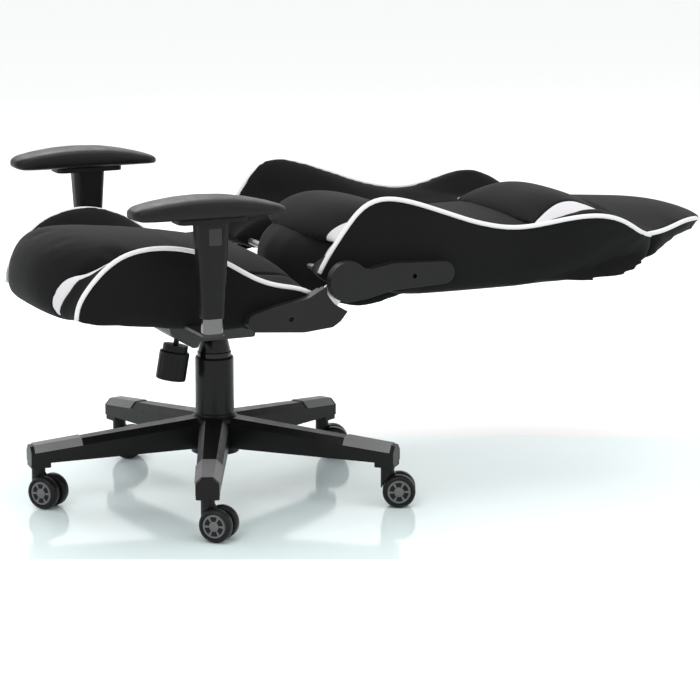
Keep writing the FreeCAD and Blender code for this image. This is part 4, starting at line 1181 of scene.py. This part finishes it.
@dataclass(frozen=True)
class ArmPad:
    """A bowed polyurethane pad with rounded rims."""

    side: Side
    middle: float = 0.315
    stations: int = 40
    corners: int = 28

    PLAN = ((-277, 10), (-275, 20), (-268, 29), (-250, 35), (-200, 41), (-140, 44), (-80, 44),
            (-40, 41), (-14, 34), (-2, 25), (4, 15), (6, 8))
    CROWN = ((-277, 587), (-274, 592), (-262, 598), (-230, 604), (-190, 608.5), (-150, 610),
             (-100, 607.5), (-60, 601), (-20, 591.5), (0, 585), (6, 579))
    FLOOR = ((-277, 581), (-274, 577), (-262, 573), (-235, 572.2), (-40, 572.2), (-12, 571.5),
             (2, 571.5), (6, 574))

    def build(self, finish: Finish) -> None:
        """Builds the pad.

        Args:
            finish: the chair's finishes.
        """
        shape = bmesh.new()
        rings = []
        front, rear = self.PLAN[0][0], self.PLAN[-1][0]
        for step in range(self.stations + 1):
            share = 0.5 - 0.5 * math.cos(math.pi * step / self.stations)
            y = front + (rear - front) * share
            half = between(self.PLAN, y)
            high = between(self.CROWN, y)
            low = between(self.FLOOR, y)
            waist = low + (high - low) * 0.42
            ring = []
            for turn in range(self.corners):
                angle = math.tau * turn / self.corners
                across = math.copysign(abs(math.cos(angle)) ** 0.5, math.cos(angle))
                rise = math.copysign(abs(math.sin(angle)) ** 0.6, math.sin(angle))
                z = waist + rise * ((high - waist) if rise > 0 else (waist - low))
                ring.append(Vector((self.side.value * self.middle + across * half / 1000,
                                    y / 1000, z / 1000)))
            rings.append(ring)
        loft(shape, rings)
        pad = settle(f"arm pad {self.side.word}", shape, [finish.armpad])
        smooth = pad.modifiers.new("Smooth", "SUBSURF")
        smooth.levels = smooth.render_levels = 1
        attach(pad, f"armrest_{self.side.word}")
        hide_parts(f"armrest_pad_{self.side.word}")


# ---------------------------------------------------------------------------
# Casters and base
# ---------------------------------------------------------------------------


@dataclass(frozen=True)
class CasterWheel:
    """One wheel of a caster: a round-shouldered tyre and a disc with six windows, whose floors
    carry painted shade.
    """

    name: str
    outward: float
    radius: float = 0.030
    width: float = 0.020
    turns: int = 72

    def build(self, finish: Finish, joint: dict) -> None:
        """Builds the wheel about its joint's axis.

        Args:
            finish: the chair's finishes.
            joint: the wheel's joint in the record.
        """
        axis = Vector(joint["axis"]).normalized() * self.outward
        centre = Vector(joint["pos_m"])
        shape = bmesh.new()
        half = self.width / 2
        profile = [
            (-half, 0.006), (-half, 0.0262), (-half + 0.0012, 0.0288), (-half + 0.004, self.radius),
            (half - 0.006, self.radius), (half - 0.0022, 0.0284), (half - 0.0004, 0.0258),
            (half, 0.0236), (half - 0.0012, 0.0226), (half - 0.003, 0.0218),
        ]
        disc = [(half - 0.003, 0.0214), (half - 0.0014, 0.0206), (half - 0.0010, 0.0188),
                (half - 0.0016, 0.0176), (half - 0.0016, 0.0090), (half - 0.0006, 0.0076),
                (half + 0.0002, 0.0050), (half + 0.0002, 0.0024)]
        rings = [self._circle(x, r) for x, r in profile + disc]
        made = [[shape.verts.new(point) for point in ring] for ring in rings]
        first_disc = len(profile) - 1
        windows = []
        for index, (low, high) in enumerate(zip(made, made[1:])):
            for turn in range(self.turns):
                after = (turn + 1) % self.turns
                face = shape.faces.new((low[turn], low[after], high[after], high[turn]))
                face.material_index = 1 if index >= first_disc else 0
                if index == first_disc + 4 and turn % 12 not in (0, 1, 11):
                    windows.append(face)
        shape.faces.new(made[-1]).material_index = 1
        shape.faces.new(list(reversed(made[0])))
        bmesh.ops.inset_region(
            shape, faces=windows, thickness=0.0005, depth=-0.0022, use_even_offset=True
        )
        # The window floors take the near-black finish: painted shade in the recesses.
        for face in windows:
            face.material_index = 2
        across = axis.cross(Vector((0, 0, 1))).normalized()
        turn_to = Matrix((axis, across, axis.cross(across))).transposed().to_4x4()
        turn_to.translation = centre
        bmesh.ops.transform(shape, matrix=turn_to, verts=shape.verts)
        wheel = settle(self.name, shape, [finish.wheel, finish.disc, finish.shade], 38)
        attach(wheel, joint["child"])
        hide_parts("caster_" + joint["child"])

    def _circle(self, x: float, radius: float) -> list[Vector]:
        """A circle about X.

        Args:
            x: its place along the axle.
            radius: its radius.

        Returns:
            Its points.
        """
        return [
            Vector((x, radius * math.cos(math.tau * t / self.turns),
                    radius * math.sin(math.tau * t / self.turns)))
            for t in range(self.turns)
        ]


@dataclass(frozen=True)
class LegTreads:
    """Cross ribs on the pale treads of the five legs."""

    turn: float = -24.0
    outer: float = 0.341
    length: float = 0.084
    ribs: int = 17
    root_reach: float = 0.036
    tip_reach: float = 0.350
    root_top: float = 0.145
    tip_top: float = 0.101

    def build(self, finish: Finish) -> None:
        """Builds the ribs of every leg.

        Args:
            finish: the chair's finishes.
        """
        for leg in range(5):
            shape = bmesh.new()
            angle = math.radians(self.turn + 72 * leg)
            along = Vector((math.cos(angle), math.sin(angle), 0))
            across = Vector((-math.sin(angle), math.cos(angle), 0))
            slope = (self.tip_top - self.root_top) / (self.tip_reach - self.root_reach)
            for rib in range(self.ribs):
                reach = self.outer - self.length * (rib + 0.5) / self.ribs
                top = self.root_top + slope * (reach - self.root_reach)
                place = Matrix((along, across, Vector((0, 0, 1)))).transposed().to_4x4()
                place = place @ Matrix.Rotation(-math.atan(slope), 4, "Y")
                place.translation = along * reach + Vector((0, 0, top + 0.0016))
                place = place @ Matrix.Diagonal((0.0026, 0.016, 0.0022, 1))
                cube = bmesh.ops.create_cube(shape, size=1.0, matrix=place)["verts"]
                bmesh.ops.bevel(
                    shape,
                    geom=list({edge for vertex in cube for edge in vertex.link_edges}),
                    offset=0.0006,
                    segments=2,
                    profile=0.5,
                    affect="EDGES",
                    material=-1,
                )
            ribs = settle(f"leg {leg + 1} tread ribs", shape, [finish.tread], 30)
            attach(ribs, "base")


class CarriedParts:
    """The hard CAD parts that are shown as they are, each with its finish."""

    PLAN = {
        "base": ["star_base"],
        "tread": ["leg_grips"],
        "cover": ["lower_cover", "gas_cylinder"],
        "gloss": ["upper_cover"],
        "chrome": ["piston_rod", "armrest_post_left", "armrest_post_right"],
        "steel": ["lift_pin", "tilt_shaft", "tension_spring", "seat_bolts", "sync_rod",
                  "recliner_base_left", "recliner_base_right", "recliner_arm_left",
                  "recliner_arm_right"],
        "black_steel": ["mechanism_housing", "seat_plate", "seat_frame", "back_frame",
                        "armrest_bracket_left", "armrest_bracket_right"],
        "grip": ["tension_knob", "recline_lever", "lift_lever"],
        "sleeve": ["armrest_sleeve_left", "armrest_sleeve_right"],
        "button": ["armrest_button_left", "armrest_button_right"],
        "hinge": ["seat_hinge_cover_left", "seat_hinge_cover_right", "back_hinge_cover_left",
                  "back_hinge_cover_right"],
        "wheel": [f"caster_fork_{number}" for number in range(1, 6)],
    }

    def dress(self, finish: Finish, nodes: dict) -> None:
        """Gives each part its material.

        Args:
            finish: the chair's finishes.
            nodes: the CAD nodes by name.
        """
        for kind, names in self.PLAN.items():
            for name in names:
                mesh = nodes[name].data
                mesh.materials.clear()
                mesh.materials.append(getattr(finish, kind))
                LOG.info("%s keeps its CAD shape", name)


# ---------------------------------------------------------------------------
# Stage
# ---------------------------------------------------------------------------


@dataclass(frozen=True)
class Studio:
    """Floor, lights, backdrop and camera."""

    position: tuple[float, float, float] = (5.2065, -2.0671, 1.4641)
    pitch: float = 77.921
    heading: float = 65.799
    lens: float = 160.47

    def build(self) -> None:
        """Sets the stage."""
        scene = bpy.context.scene
        self._floor()
        self._world()
        self._light("key", (2.6, -2.6, 3.6), 2.2, 60)
        self._light("fill", (3.4, 2.6, 2.4), 2.0, 20)
        self._light("rim", (-3.0, 0.4, 3.0), 2.0, 50)
        self._light("top", (0.0, 0.3, 3.8), 2.4, 45)
        camera = bpy.data.cameras.new("camera")
        camera.lens = self.lens
        camera.sensor_width = 36
        made = bpy.data.objects.new("camera", camera)
        made.location = self.position
        made.rotation_euler = (math.radians(self.pitch), 0, math.radians(self.heading))
        scene.collection.objects.link(made)
        scene.camera = made
        scene.render.resolution_x = scene.render.resolution_y = 1400
        scene.view_settings.view_transform = "Standard"
        scene.view_settings.look = "None"

    def _floor(self) -> None:
        """A wide ground with the pale polished strip."""
        shape = bmesh.new()
        bmesh.ops.create_grid(shape, x_segments=1, y_segments=1, size=14)
        bmesh.ops.translate(shape, vec=(0, 0, -0.0005), verts=shape.verts)
        turn = math.radians(self.heading + 90)
        floor = settle("ground", shape, [Polish("ground", -0.46, 0.42, turn).material()])

    def _world(self) -> None:
        """A white surround."""
        world = bpy.data.worlds.new("surround")
        world.use_nodes = True
        bpy.context.scene.world = world
        back = world.node_tree.nodes["Background"]
        back.inputs["Color"].default_value = (1, 1, 1, 1)
        back.inputs["Strength"].default_value = 1.0

    def _light(self, name: str, spot: Sequence[float], size: float, power: float) -> None:
        """One soft box aimed at the seat.

        Args:
            name: its name.
            spot: its place.
            size: its width.
            power: its power in watts.
        """
        lamp = bpy.data.lights.new(name, "AREA")
        lamp.size = size
        lamp.energy = power
        made = bpy.data.objects.new(name, lamp)
        made.location = spot
        aim = Vector((0, 0.2, 0.4)) - Vector(spot)
        made.rotation_euler = aim.to_track_quat("-Z", "Y").to_euler()
        bpy.context.scene.collection.objects.link(made)


def main() -> None:
    """Builds the chair's looks on the frame."""
    finish = Finish()
    CarriedParts().dress(finish, frame["nodes"])
    SeatUpholstery().build(finish)
    BackUpholstery().build(finish)
    for side in Side:
        ArmPad(side).build(finish)
    for joint in frame["joints"]:
        if joint["name"].startswith("wheel_"):
            outward = 1.0 if joint["name"].endswith("a") else -1.0
            CasterWheel(joint["name"].replace("_", " "), outward).build(finish, joint)
    LegTreads().build(finish)
    Studio().build()


if __name__ == "__main__":
    main()
